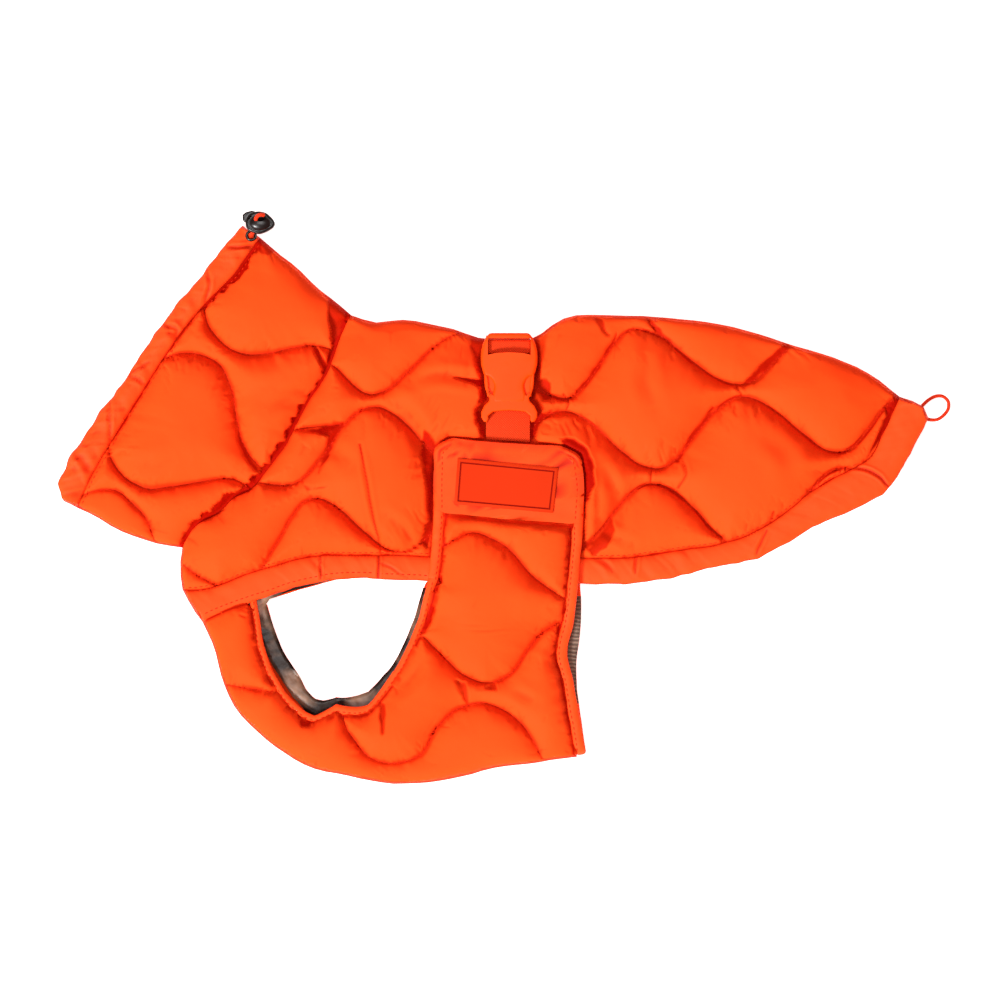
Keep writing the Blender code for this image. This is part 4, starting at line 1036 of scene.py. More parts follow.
def subdivided(mesh: Mesh, levels: int) -> Mesh:
    """A Catmull-Clark subdivision of a mesh.

    Args:
        mesh: The mesh.
        levels: How often it is subdivided.

    Returns:
        The finer mesh.
    """
    holder = add_object("to_subdivide", mesh)
    modifier = holder.modifiers.new("Subdivision", "SUBSURF")
    modifier.levels = modifier.render_levels = levels
    fine = bmesh.new()
    fine.from_mesh(holder.evaluated_get(bpy.context.evaluated_depsgraph_get()).to_mesh())
    bpy.data.objects.remove(holder, do_unlink=True)
    return fine


def mould(outline: Sequence, low: float, thick: float, edge: float,
          into: Mesh | None = None) -> Mesh:
    """A plate with a rounded upper rim.

    Args:
        outline: Its outline in millimetres.
        low: Height of its underside.
        thick: Its thickness.
        edge: Radius of the rim.
        into: Mesh that it is added to.

    Returns:
        The mesh.
    """
    mesh = into or bmesh.new()
    base = mesh.faces.new([mesh.verts.new(in_frame((x, y, low))) for x, y in outline])
    raised = bmesh.ops.extrude_face_region(mesh, geom=[base])["geom"]
    lid = [v for v in raised if isinstance(v, bmesh.types.BMVert)]
    bmesh.ops.translate(mesh, verts=lid, vec=(0, 0, thick * MM))
    rims = [e for e in mesh.edges if all(v in lid for v in e.verts)]
    bmesh.ops.recalc_face_normals(mesh, faces=mesh.faces)
    bmesh.ops.bevel(mesh, geom=rims, offset=edge * MM, segments=4, profile=0.5, affect="EDGES",
                    material=-1, clamp_overlap=True)
    return mesh


def framed(mesh: Mesh, lid: list[bmesh.types.BMFace], rings: Sequence) -> None:
    """Step a plate's top up and down in rings.

    Args:
        mesh: The plate's mesh.
        lid: Its top face.
        rings: Rows of a ring's width and rise, from the rim inwards.
    """
    for width, rise in rings:
        bmesh.ops.inset_region(mesh, faces=lid, thickness=width * MM, depth=rise * MM,
                               use_even_offset=True)


def cut_away(piece: Piece, shape: Mesh, sharp: float) -> None:
    """Subtract a shape from a piece.

    Args:
        piece: The piece.
        shape: The shape.
        sharp: Edges above this angle stay sharp, in degrees.
    """
    cutter = add_object("cutter", shape)
    modifier = piece.modifiers.new("Cut", "BOOLEAN")
    modifier.object, modifier.operation, modifier.solver = cutter, "DIFFERENCE", "MANIFOLD"
    shown = piece.evaluated_get(bpy.context.evaluated_depsgraph_get())
    cut = bpy.data.meshes.new_from_object(shown)
    piece.modifiers.clear()
    piece.data = cut
    smooth_shaded(cut, sharp)
    bpy.data.objects.remove(cutter, do_unlink=True)


def round_cord(name: str, route: Sequence, radius: float, node: str) -> Piece:
    """A round elastic cord along a route.

    Args:
        name: The cord's name.
        route: Points in millimetres.
        radius: Its radius in millimetres.
        node: The node that it stands for.

    Returns:
        The cord.
    """
    points = smooth_curve(route, CORD_STEP)
    curve = bpy.data.curves.new(name, "CURVE")
    curve.dimensions = "3D"
    curve.bevel_depth = radius * MM
    curve.bevel_resolution = 4
    curve.use_fill_caps = True
    spline = curve.splines.new("POLY")
    spline.points.add(len(points) - 1)
    for slot, point in zip(spline.points, points):
        slot.co = (*in_frame(point), 1.0)
    curve.materials.append(CORD.build())
    cord = add_object(name, curve)
    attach(cord, "root")
    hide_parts(node)
    return cord


# ---------------- quilted panels


def from_flap(points: Array) -> Array:
    """Distance outside the flap, where it lies over the body."""
    return outside_by(FLAP_OUTLINE, points)


def from_strap(points: Array) -> Array:
    """Distance outside the buckle and the strap, uneven as the cloth is drawn in."""
    drawn_in = 1.6 * np.clip(rumple(points, (16, 12), 0, 77), 0, 1)
    return outside_by(BUCKLE_ZONE, points) - drawn_in


def pressed(points: Array) -> Array:
    """Share of the swelling left where the flap or the buckle presses on the body."""
    flap, strap = from_flap(points), from_strap(points)
    return np.minimum(0.14 + 0.86 * eased((flap - 0.3) / 5), 0.1 + 0.9 * eased((strap + 1) / 5))


def deck(points: Array) -> Array:
    """Highest that the body may rise, close to the flap and the buckle."""
    flap, strap = from_flap(points), from_strap(points)
    return DECK_TOP + 14 * np.minimum(eased((flap - 0.3) / 4.5), eased((strap - 0.3) / 5))


def climb(points: Array) -> Array:
    """1 where the flap lies over the body, 0 on the belly and at the chest."""
    over = eased((points[:, 1] - (HEM_Y - 4 - CLIMB)) / CLIMB)
    return np.where(points[:, 0] > OVER_BODY_X, over, 0.0)


def flap_under(points: Array) -> Array:
    """Inner face of the near chest panel."""
    return NEAR_LOW + (FLAP_LOW - NEAR_LOW) * climb(points)


def level_under(points: Array) -> Array:
    """Inner face of the other near halves, which lie level."""
    return np.full(len(points), NEAR_LOW)


def painted_shade_by_buckle(flat: Array) -> Array:
    """Painted shade close round the buckle and the strap."""
    reach = 1.6 + 1.2 * rumple(flat, (9, 6), 0, 91)
    return 0.85 * eased((reach - outside_by(BUCKLE_ZONE, flat)) / 1.2 + 0.5)


def painted_shade_by_flap(flat: Array) -> Array:
    """Painted shade close round the flap."""
    reach = 1.3 + 0.9 * rumple(flat, (7, 9), 0, 93)
    return 0.85 * eased((reach - from_flap(flat)) / 1.0 + 0.5)


def yoke_low_at(flat: Array) -> Array:
    """Place along Y of the yoke's lower edge, at the X of each point."""
    line = smooth_curve(YOKE_LOW)
    return np.interp(flat[:, 0], line[:, 0], line[:, 1])


def painted_shade_below_yoke(flat: Array) -> Array:
    """Painted shade in the fold below the yoke."""
    below = yoke_low_at(flat) - 1.0 - flat[:, 1]
    return np.where(np.abs(flat[:, 0] - 9) < 44, 0.8 * bell(below, 2.0), 0.0)


def yoke_free(flat: Array) -> Array:
    """1 where the flap swells, 0 where it lies flat under the yoke."""
    below = eased((yoke_low_at(flat) + 1.0 - flat[:, 1]) / 7.0)
    return np.where((climb(flat) > 0.98) & (flat[:, 0] > -60), below, 1.0)


@dataclass
class Crease:
    """A fold across the quilting: its line, depth, half width, lean and painted shade."""

    line: Sequence
    depth: float
    width: float
    lean: float = 0.0
    shade: float = 0.0

    def height(self, points: Array) -> Array:
        """What the crease adds to the height.

        Args:
            points: Flat points.

        Returns:
            The height to add at each point, negative in a valley.
        """
        curve = smooth_curve(self.line)
        beside = read_beside(curve, points)
        length = np.linalg.norm(np.diff(curve, axis=0), axis=1).sum()
        ends = np.sin(np.pi * np.clip(beside.along / length, 0.04, 0.96)) ** 0.6
        across = beside.distance * beside.side / self.width
        valley = np.exp(-across ** 2) * (1 + self.lean * np.tanh(across))
        shoulder = 0.45 * bell(np.abs(across) - 1.9, 0.9)
        return -self.depth * ends * (valley - shoulder)

    def shading(self, flat: Array) -> Array:
        """Painted shade along its line, from 0 to 1."""
        return painted_shade_along([smooth_curve(self.line)], flat, self.shade)


@dataclass
class Join:
    """A seam to the next piece: depth, width of its valley of painted shade, and its gathers."""

    curve: Array
    drop: float = 0.8
    shade: float = 0.6
    pucker: float = 1.0
    reach: float = 9.0

    def shading(self, flat: Array) -> Array:
        """How far points lie in the ragged valley beside the seam, and its painted shade.

        Args:
            flat: Flat points.

        Returns:
            The share of each point, from 0 to 1.
        """
        beside = read_beside(self.curve, flat)
        notch = ripple(beside.along, 2.6, 17) + 0.5 * ripple(beside.along, 6.3, 18)
        width = self.shade * (0.75 + 0.5 * np.clip(notch, -0.5, 1))
        return 0.95 * eased((width - beside.distance) / 0.7 + 0.5) * (self.shade > 0)


@dataclass
class Hollow:
    """A fold falling away from the cloth round it: its outline, depth and painted shade."""

    outline: Sequence
    depth: float
    shade: float

    def share(self, flat: Array) -> Array:
        """How far each point lies in the hollow, from 0 to 1."""
        uneven = 0.5 * rumple(flat, (4, 3), 30, 55)
        return eased((uneven - outside_by(np.array(self.outline, float), flat)) / 1.4 + 0.5)

    def shading(self, flat: Array) -> Array:
        """Painted shade in the hollow, from 0 to 1."""
        return self.shade * self.share(flat)


@dataclass
class QuiltedPanel:
    """A padded panel folded into a near and a far half, quilted and gathered by its seams."""

    node: str
    cut: tuple[float, float]  # size of the cloth laid flat, in metres
    area: float  # in square metres
    seams: list[Array]
    joins: list[Join]
    folds: list[Array]
    floor: Shading  # its inner face
    puff: float  # how high the padding rises
    reach: float  # how far from a seam it has risen
    creases: Sequence[Crease] = ()
    hollows: Sequence[Hollow] = ()
    # painted shade from the parts beside the panel
    shadings: Sequence[Shading] = ()
    closing: float = 0.6  # edges this close to a join are sewn to it
    overlap: float = 0.12  # and reach this far past it
    corner: tuple[float, float, float, float] | None = None  # x, y and half sizes of its zone
    press: Shading | None = None
    flat_part: Shading | None = None
    lies_on: tuple[str, ...] = ()
    growth: float = 0.17  # how much the cloth grows beside a seam
    groove: tuple[float, float] = (0.45, 0.45)  # half width of painted seam shade, left and right
    pucker: float = 0.75
    fold_height: float = 9.0  # where the near half meets the fold
    fold_reach: float = 3.8  # and how far from it it rises
    sewn_within: float = 0.95  # vertices this close to a seam lie in it
    under_groove: tuple[float, float] = (1.7, 4.5)  # depth and half width on the underside
    travel: tuple[float, float, float] = (2.0, 1.5, 5.0)  # caps sideways, down and up
    seed: int = 1

    def refine(self) -> None:
        """Make the fine mesh: small triangles above and at the folds, larger ones below."""
        self.mesh = node_copy(self.node)
        split(self.mesh, upper_edges(self.mesh, NEAR_FACE), 3)
        self.mesh.normal_update()
        lower = [face for face in self.mesh.faces
                 if face.normal.z < -0.8 and face.calc_center_median().z < 0.6 * MM]
        split(self.mesh, edges_of(lower), 3)
        self.mesh.normal_update()

    def shape(self) -> None:
        """Lay the near face out along the seams, and groove the underside."""
        spots = to_flat(self.mesh)
        self.edges = [join.curve for join in self.joins]
        if self.corner:
            self.stretch_corner(spots)
        flat = spots[:, :2]
        looks_up = facing(self.mesh)
        self.upper = (looks_up > 0.05) & (spots[:, 2] > NEAR_FACE)
        self.from_seam, foot = nearest(self.seams, flat)
        self.sewn = self.upper & (self.from_seam < self.sewn_within)
        spots[self.sewn, :2] = foot[self.sewn]
        self.from_edge = nearest(self.edges, flat)[0]
        from_fold = nearest(self.folds, flat)[0]
        self.inner = self.upper & (from_fold > 0.7)
        rise = self.start_height(flat, from_fold) - self.fold_height
        rise = rise * dome(from_fold, self.fold_reach)
        spots[self.inner, 2] = (self.fold_height + rise)[self.inner]
        under = (spots[:, 2] < 0.3) & (looks_up < -0.5)
        depth, width = self.under_groove
        spots[under, 2] += depth * bell(self.from_seam[under], width)
        close_up(spots, self.edges, self.closing, self.overlap)
        move_to(self.mesh, spots)
        self.spots = spots

    def stretch_corner(self, spots: Array) -> None:
        """Draw the cloth at one corner out to the seam, evenly over the next few millimetres.

        Args:
            spots: Positions of the vertices, moved in place.
        """
        x, y, wide, high = self.corner
        flat = spots[:, :2]
        beside = (np.abs(flat[:, 0] - x) < wide) & (np.abs(flat[:, 1] - y) < high)
        inside = np.flatnonzero(beside & (spots[:, 2] > 10))
        away, foot = nearest(self.edges, flat[inside])
        stations = np.arange(y - high, y + high + 0.1, 2.0)
        rows = [away[np.abs(flat[inside, 1] - station) < 1.6] for station in stations]
        closest = [row.min() if len(row) else 0.3 for row in rows]
        short = np.interp(flat[inside, 1], stations, closest)
        short = np.maximum(short - 0.25, 0) * (away < short + 8)
        fresh = np.maximum(away - short, 0) * (1 + short / 8)
        share = np.where(away > 1e-6, np.minimum(fresh, away) / np.maximum(away, 1e-6), 1.0)
        spots[inside, :2] = foot + (flat[inside] - foot) * share[:, None]

    def start_height(self, flat: Array, from_fold: Array) -> Array:
        """Height of the near face before the padding swells.

        Args:
            flat: Flat points.
            from_fold: Their distance from the panel's folds.

        Returns:
            The height of each point.
        """
        from_any = np.minimum(np.where(self.sewn, 0.0, self.from_seam), self.from_edge)
        fade = 0.35 + 0.65 * eased(from_fold / 26)
        rise = self.puff * dome(from_any, self.reach) * fade
        if self.press:
            rise = rise * self.press(flat)
        wall = SEAM_WALL + rise * 0.8
        for join in self.joins:
            wall = wall - join.drop * bell(read_beside(join.curve, flat).distance, 2.4)
        if self.flat_part:
            share = self.flat_part(flat)
            wall = wall * share + (YOKE_FLOOR - FLAP_LOW - 0.8) * (1 - share)
        return self.floor(flat) + wall

    def load_cloth(self) -> None:
        """Set the fine mesh up as cloth that swells between its seams."""
        self.holder = add_object(self.node + "_cloth", self.mesh)
        self.free = self.upper & ~self.sewn & (self.from_edge > 1.0)
        if self.flat_part:
            self.free &= self.flat_part(self.spots[:, :2]) > 0.3
        pins = self.holder.vertex_groups.new(name="pins")
        pins.add([int(i) for i in np.flatnonzero(~self.free)], 1.0, "REPLACE")
        loose = self.holder.vertex_groups.new(name="loose")
        gathered = bell(np.minimum(self.from_seam, self.from_edge), 10)
        for i in np.flatnonzero(self.free):
            loose.add([int(i)], float(0.15 + 0.85 * gathered[i]), "REPLACE")
        cloth = self.holder.modifiers.new("Cloth", "CLOTH")
        for key, value in {
                "quality": 6, "mass": 0.001, "tension_stiffness": 15, "compression_stiffness": 15,
                "shear_stiffness": 5, "bending_stiffness": 0.01, "vertex_group_mass": "pins",
                "use_pressure": True, "uniform_pressure_force": 200, "shrink_min": 0.0,
                "shrink_max": -self.growth, "vertex_group_shrink": "loose"}.items():
            setattr(cloth.settings, key, value)
        cloth.settings.effector_weights.gravity = 0
        cloth.collision_settings.use_collision = False

    def settle(self) -> None:
        """Take the swollen shape, its travel capped."""
        shown = self.holder.evaluated_get(bpy.context.evaluated_depsgraph_get()).data
        travel = in_cloth(rows_of(shown.vertices, "co")) - self.spots
        sideways, down, up = self.travel
        travel[:, :2] = np.clip(travel[:, :2], -sideways, sideways)
        travel[:, 2] = np.clip(travel[:, 2], -down, up)
        travel[~self.free] = 0
        self.spots = self.spots + travel
        bpy.data.objects.remove(self.holder, do_unlink=True)

    def refine_again(self) -> None:
        """Halve the near face's triangles once more, for the small puckers."""
        move_to(self.mesh, self.spots)
        marks = self.mesh.verts.layers.float_vector.new("marks")
        for vertex, free, inner in zip(self.mesh.verts, self.free, self.inner):
            vertex[marks] = (float(free), float(inner), 0.0)
        split(self.mesh, upper_edges(self.mesh, NEAR_FACE, 0.03), 1)
        self.mesh.normal_update()
        read = np.array([v[marks] for v in self.mesh.verts])
        self.free, self.inner = read[:, 0] > 0.4, read[:, 1] > 0.4
        self.spots = to_flat(self.mesh)
        self.upper = (facing(self.mesh) > 0.03) & (self.spots[:, 2] > NEAR_FACE)
        self.from_seam = nearest(self.seams, self.spots[:, :2])[0]
        self.from_edge = nearest(self.edges, self.spots[:, :2])[0]

    def puckers(self, join: Join, k: int) -> Array:
        """What the gathers along one seam add to the height.

        Args:
            join: The seam.
            k: Its number in the panel.

        Returns:
            The height to add at each vertex.
        """
        beside = read_beside(join.curve, self.spots[:, :2])
        uneven = 0.55 + 0.45 * ripple(beside.along, 31.0, self.seed * 40 + k)
        slant = beside.along + beside.side * beside.distance * 0.35
        long_one = ripple(slant, 4.2, self.seed * 70 + k) * np.exp(-beside.distance / join.reach)
        short_one = ripple(beside.along, 2.1, self.seed * 90 + k) * np.exp(-beside.distance / 3.5)
        from_seam = 1 - np.exp(-beside.distance / 1.3)
        strength = self.pucker * join.pucker * uneven
        return strength * (0.9 * long_one + 0.5 * short_one) * from_seam

    def gather(self) -> None:
        """Draw puckers from each seam, folds across the quilting and slow waves over the cloth."""
        flat = self.spots[:, :2]
        near = np.minimum(self.from_seam, self.from_edge)
        added = np.zeros(len(flat))
        for k, join in enumerate([Join(seam, reach=8.0) for seam in self.seams] + self.joins):
            added += self.puckers(join, k)
        slow = (0.5 * rumple(flat, (34, 17), 25, self.seed + 5)
                + 0.3 * rumple(flat, (13, 26), 25, self.seed + 6))
        added += slow * dome(near, 12.0)
        for crease in self.creases:
            added += crease.height(flat) * dome(near, 6.0)
        for join in self.joins:
            added -= join.drop * join.shading(flat)
        for hollow in self.hollows:
            added -= hollow.depth * hollow.share(flat)
        share = np.ones(len(flat))
        if self.press:
            share = np.clip(self.press(flat), 0.25, 1.0)
        if self.flat_part:
            share = share * self.flat_part(flat)
        from_fold = nearest(self.folds, flat)[0]
        share = share * (0.2 + 0.8 * eased((from_fold - 3.0) / 10.0))
        self.spots[self.free, 2] += (added * share)[self.free]
        if self.press:
            top = np.minimum(self.spots[:, 2], deck(flat))
            self.spots[self.upper, 2] = top[self.upper]
        inner = self.inner & (from_fold > 5)
        low = np.maximum(self.spots[:, 2], self.floor(flat) + 1.2)
        self.spots[inner, 2] = low[inner]

    def build(self) -> Piece:
        """Finish the panel as a piece.

        Returns:
            The piece.
        """
        move_to(self.mesh, self.spots, True)
        piece = add_piece(self.node + "_quilted", self.mesh, SHELL, [self.node])
        flat = self.spots[:, :2]
        # painted shade along the seams, in the joins' valleys and hollows, on creases, and from the
        # shadings
        shaded_creases = [crease for crease in self.creases if crease.shade]
        folds = [part.shading(flat) for part in [*self.joins, *self.hollows, *shaded_creases]]
        groove = np.interp(flat[:, 0], (-60, 40), self.groove)
        seam_shade = painted_shade_along(self.seams, flat, 0.85, groove)
        shadings = [shading(flat) for shading in self.shadings]
        mark_painted_shade(piece, np.maximum.reduce([seam_shade, *folds, *shadings]))
        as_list(self.lies_on)
        return piece


def swell_together(panels: Sequence[QuiltedPanel]) -> None:
    """Run the cloth of every panel at once, which shares the cores.

    Args:
        panels: The panels, refined and shaped.
    """
    for panel in panels:
        panel.load_cloth()
    for step in range(1, SWELL_STEPS + 1):
        bpy.context.scene.frame_set(step)
    for panel in panels:
        panel.settle()
    bpy.context.scene.frame_set(1)


@dataclass
class Band:
    """A turned hem or the drawstring channel: a narrow folded band with gathers across it."""

    node: str
    cut: tuple[float, float]  # size of the cloth laid flat, in metres
    area: float  # in square metres
    edges: list[Array]
    rise: float  # how high its middle rises
    gather: float  # height of its gathers
    size: float  # length of one gather
    closed_to: list[Array]  # seams that its edge is sewn to
    pressed_down: bool = False
    seed: int = 1
    creases: Sequence[Crease] = ()

    def height(self, flat: Array) -> Array:
        """Height of the band's outer face.

        Args:
            flat: Flat points.

        Returns:
            The height of each point.
        """
        away = nearest(self.edges, flat)[0]
        first = read_beside(self.edges[0], flat)
        height = NEAR_LOW + SEAM_WALL - 0.9 + self.rise * dome(away, 7.0)
        strength = 0.6 + 0.4 * ripple(first.along, 40.0, self.seed)
        slant = first.along + 0.7 * first.distance * first.side
        folds = (0.6 * ripple(slant, self.size, self.seed + 1)
                 + 0.4 * ripple(slant, self.size * 0.45, self.seed + 2))
        folds += 0.8 * rumple(flat, (self.size * 0.8, self.size * 2.2), 35, self.seed + 4)
        height += self.gather * strength * folds * dome(away, 5.0)
        for crease in self.creases:
            height += crease.height(flat) * dome(away, 3.0)
        height += 0.35 * rumple(flat, (16, 9), 10, self.seed + 3) * dome(away, 5.0)
        return np.minimum(height, deck(flat)) if self.pressed_down else height

    def build(self) -> Piece:
        """Make the band from its node: finer, rounder and gathered.

        Returns:
            The piece.
        """
        mesh = node_copy(self.node)
        split(mesh, upper_edges(mesh, NEAR_LOW), 3)
        long_ones = [e for e in upper_edges(mesh, NEAR_LOW) if e.calc_length() > 1.6 * MM]
        split(mesh, long_ones, 2)
        mesh.normal_update()
        spots = to_flat(mesh)
        flat = spots[:, :2].copy()
        upper = (facing(mesh) > 0.05) & (spots[:, 2] > NEAR_LOW + 0.4)
        spots[upper, 2] = self.height(flat)[upper]
        for axis in (0, 1):
            sway = 0.7 * rumple(flat, (5.5, 5.5), 15, self.seed + 20 + axis)
            spots[:, axis] += sway * eased((nearest(self.closed_to, flat)[0] - 2) / 8)
        close_up(spots, self.closed_to, 0.6, 0.12, flat)
        move_to(mesh, spots, True)
        piece = add_piece(self.node + "_turned", mesh, SHELL_TRIM, [self.node])
        # painted shade along the band's creases and beside its seam
        dark = [crease.shading(flat) for crease in self.creases]
        seam = 0.7 * Join(self.edges[0], shade=0.5).shading(flat)
        mark_painted_shade(piece, np.maximum.reduce([seam, *dark]))
        return piece


# ---------------- trims


@dataclass
class Tapes:
    """Binding tapes round the flap and the leg opening, softened and slightly waved."""

    cuts: tuple = (("flap_binding", (0.012, 0.49)), ("leg_binding_near", (0.01, 0.155)),
                   ("leg_binding_far", (0.01, 0.14)))
    wave: float = 0.25

    def build(self) -> list[Piece]:
        """Make each tape from its node.

        Returns:
            The pieces.
        """
        made = []
        for k, (node, cut) in enumerate(self.cuts):
            mesh = subdivided(node_copy(node), 2)
            spots = to_flat(mesh)
            spots[:, 2] += self.wave * rumple(spots[:, :2], (7, 4), 0, 60 + k) * (spots[:, 2] > 4)
            if node == "leg_binding_near":
                self.pull_to_seams(spots)
            move_to(mesh, spots, True)
            piece = add_piece(node + "_folded", mesh, TAPE, [node])
            made.append(piece)
        return made

    def pull_to_seams(self, spots: Array) -> None:
        """Draw the near leg tape's ends to the hem in front and behind, and under the flap.

        Args:
            spots: Positions of the vertices, moved in place.
        """
        rear = eased((spots[:, 1] + 56) / 12) * (spots[:, 0] > -90)
        front = bell(np.hypot(spots[:, 0] + 134.8, spots[:, 1] + 56), 6)
        wedge = bell(spots[:, 1] + 45.5, 3.5) * eased((spots[:, 0] + 36.0) / 2.5)
        spots[:, 1] += 3.0 * rear + 2.2 * front + 1.6 * wedge
        spots[:, 0] += 1.0 * rear - 1.4 * front + 1.8 * wedge


@dataclass
class Linings:
    """Linings where they show: satin round the leg opening and brushed cloth behind the flap."""

    cuts: tuple = (("leg_lining", SATIN, (0.09, 0.09), 0.0026),
                   ("flap_lining", FLEECE, (0.014, 0.065), None))
    fold: float = 0.9

    def build(self) -> list[Piece]:
        """Make both linings from their nodes, with soft folds.

        Returns:
            The pieces.
        """
        made = []
        for node, finish, cut, area in self.cuts:
            mesh = node_copy(node)
            split(mesh, mesh.edges, 3)
            spots = to_flat(mesh)
            upper = spots[:, 2] > 9.0
            spots[:, 0] -= 3.0 * bell(np.hypot(spots[:, 0] + 136, spots[:, 1] + 56), 6)
            folds = rumple(spots[:, :2], (7, 16), 60, 31) * self.fold - 0.4
            spots[upper, 2] += np.minimum(folds, 0.9)[upper]
            move_to(mesh, spots, True)
            piece = add_piece(node + "_cloth", mesh, finish, [node])
            made.append(piece)
        return made


@dataclass
class Webbing:
    """The strap: webbing from the flap up to the buckle, and over the back to the far side."""

    cuts: tuple = (("strap_lower", (0.025, 0.023)), ("strap_upper", (0.025, 0.085)))
    selvage: float = 0.45
    turn_y: tuple[float, float] = (85.9, 93.5)  # where the upper length turns in the slot
    turn_half: float = 12.0
    turn_low: float = 18.5
    turn_thick: float = 3.8
    turn_edge: float = 1.4

    def build(self) -> list[Piece]:
        """Make both lengths from their nodes, with rounded selvages.

        Returns:
            The pieces.
        """
        made = []
        for node, cut in self.cuts:
            mesh = node_copy(node)
            bmesh.ops.dissolve_limit(mesh, angle_limit=math.radians(1), verts=mesh.verts,
                                     edges=mesh.edges)
            rims = [e for e in mesh.edges
                    if len(e.link_faces) == 2 and e.calc_face_angle(0) > math.radians(60)]
            bmesh.ops.bevel(mesh, geom=rims, offset=self.selvage * MM, segments=3, profile=0.5,
                            affect="EDGES", material=-1)
            if node == "strap_upper":
                left, right = BUCKLE_X - self.turn_half, BUCKLE_X + self.turn_half
                low, high = self.turn_y
                mould([(left, low), (right, low), (right, high), (left, high)], self.turn_low,
                      self.turn_thick, self.turn_edge, mesh)
            piece = add_piece(node + "_webbing", mesh, WEBBING, [node], 50)
            made.append(piece)
        return made


@dataclass
class Label:
    """The yoke across the top of the flap, and the bare label with its raised double frame."""

    corners: tuple = ((-22, 0.5), (34, -4.5), (37, 21), (-20, 26.5))
    rings: tuple = ((0.3, 0.2), (1.4, 0.0), (0.3, -0.5), (0.4, 0.0), (0.3, 0.4), (1.0, 0.0))
    thick: float = 0.9
    yoke_top: float = 21.7
    yoke_under: float = 20.4
    spread: tuple[float, float] = (1.205, 1.18)  # how far the node's outline is drawn out

    def build(self) -> list[Piece]:
        """Make the yoke from its node and the label from its outline."""
        return [self.build_yoke(), self.build_badge()]

    def build_yoke(self) -> Piece:
        """Patch over the top of the flap: it wraps over the tape, with a sewn line inside its edge.

        Returns:
            The piece.
        """
        mesh = node_copy("label_yoke")
        split(mesh, mesh.edges, 3)
        split(mesh, [edge for edge in mesh.edges if edge.calc_length() > 1.3 * MM], 1)
        spots = to_flat(mesh)
        top = spots[:, 2] > 21.0
        low, middle = spots[:, 1].min(), 9.1
        spots[:, 0] = 8.6 + (spots[:, 0] - middle) * self.spread[0]
        spots[:, 1] = low + (spots[:, 1] - low) * self.spread[1]
        edge = smooth_curve(FLAP_EDGE_NEAR)
        beside = read_beside(edge, spots[:, :2])
        past = (beside.side < 0) | (beside.distance < 0.05)
        spots[past, :2] = beside.foot[past]
        inset = np.where(past, 0.0, beside.distance)
        spots[:, 2] = np.where(top, self.yoke_top, self.yoke_under)
        spots[:, 2] -= 1.5 * np.clip(1 - inset / 2.6, 0, 1) ** 2
        ridges = [row[row[:, 1] > 20] for row in (shifted(edge, 3.2), smooth_curve(YOKE_RIDGE))]
        spots[top, 2] -= 0.8 * bell(nearest(ridges, spots[top, :2])[0], 0.8)
        uneven = 0.3 * rumple(spots[:, :2], (18, 8), 5, 81)
        spots[top, 2] += (dome(np.minimum(inset, 9.0), 9.0) * 0.5 + uneven)[top]
        move_to(mesh, spots, True)
        patch = add_piece("label_yoke_patch", mesh, SHELL_TRIM, ["label_yoke"])
        # painted shade along the label's frame line and the yoke's sewn ridges
        frame_line = evenly(np.array([*self.corners, self.corners[0]], float), 1.0)
        mark_painted_shade(patch, np.maximum(painted_shade_along([frame_line], spots[:, :2], 0.9),
                                       painted_shade_along(ridges, spots[:, :2], 0.75)))
        return patch

    def build_badge(self) -> Piece:
        """Bare plate with a raised rim and a sunk line inside it.

        Returns:
            The piece.
        """
        mesh = bmesh.new()
        corners = [in_frame((x, y, BADGE_LOW)) for x, y in self.corners]
        base = mesh.faces.new([mesh.verts.new(corner) for corner in corners])
        raised = bmesh.ops.extrude_face_region(mesh, geom=[base])["geom"]
        lid = [f for f in raised if isinstance(f, bmesh.types.BMFace)]
        bmesh.ops.translate(mesh, verts=list(lid[0].verts), vec=(0, 0, self.thick * MM))
        framed(mesh, lid, self.rings)
        bmesh.ops.recalc_face_normals(mesh, faces=mesh.faces)
        heights = np.array([v.co.z for v in mesh.verts]) / MM
        badge = add_piece("label_badge", mesh, LABEL, ["label_plate"], 35)
        # painted shade in the sunk line of the frame and at the plate's foot
        sunk = BADGE_LOW + self.thick - 0.2
        store_painted_shade(badge, np.where(heights < sunk, 1.0, 0.0))
        return badge


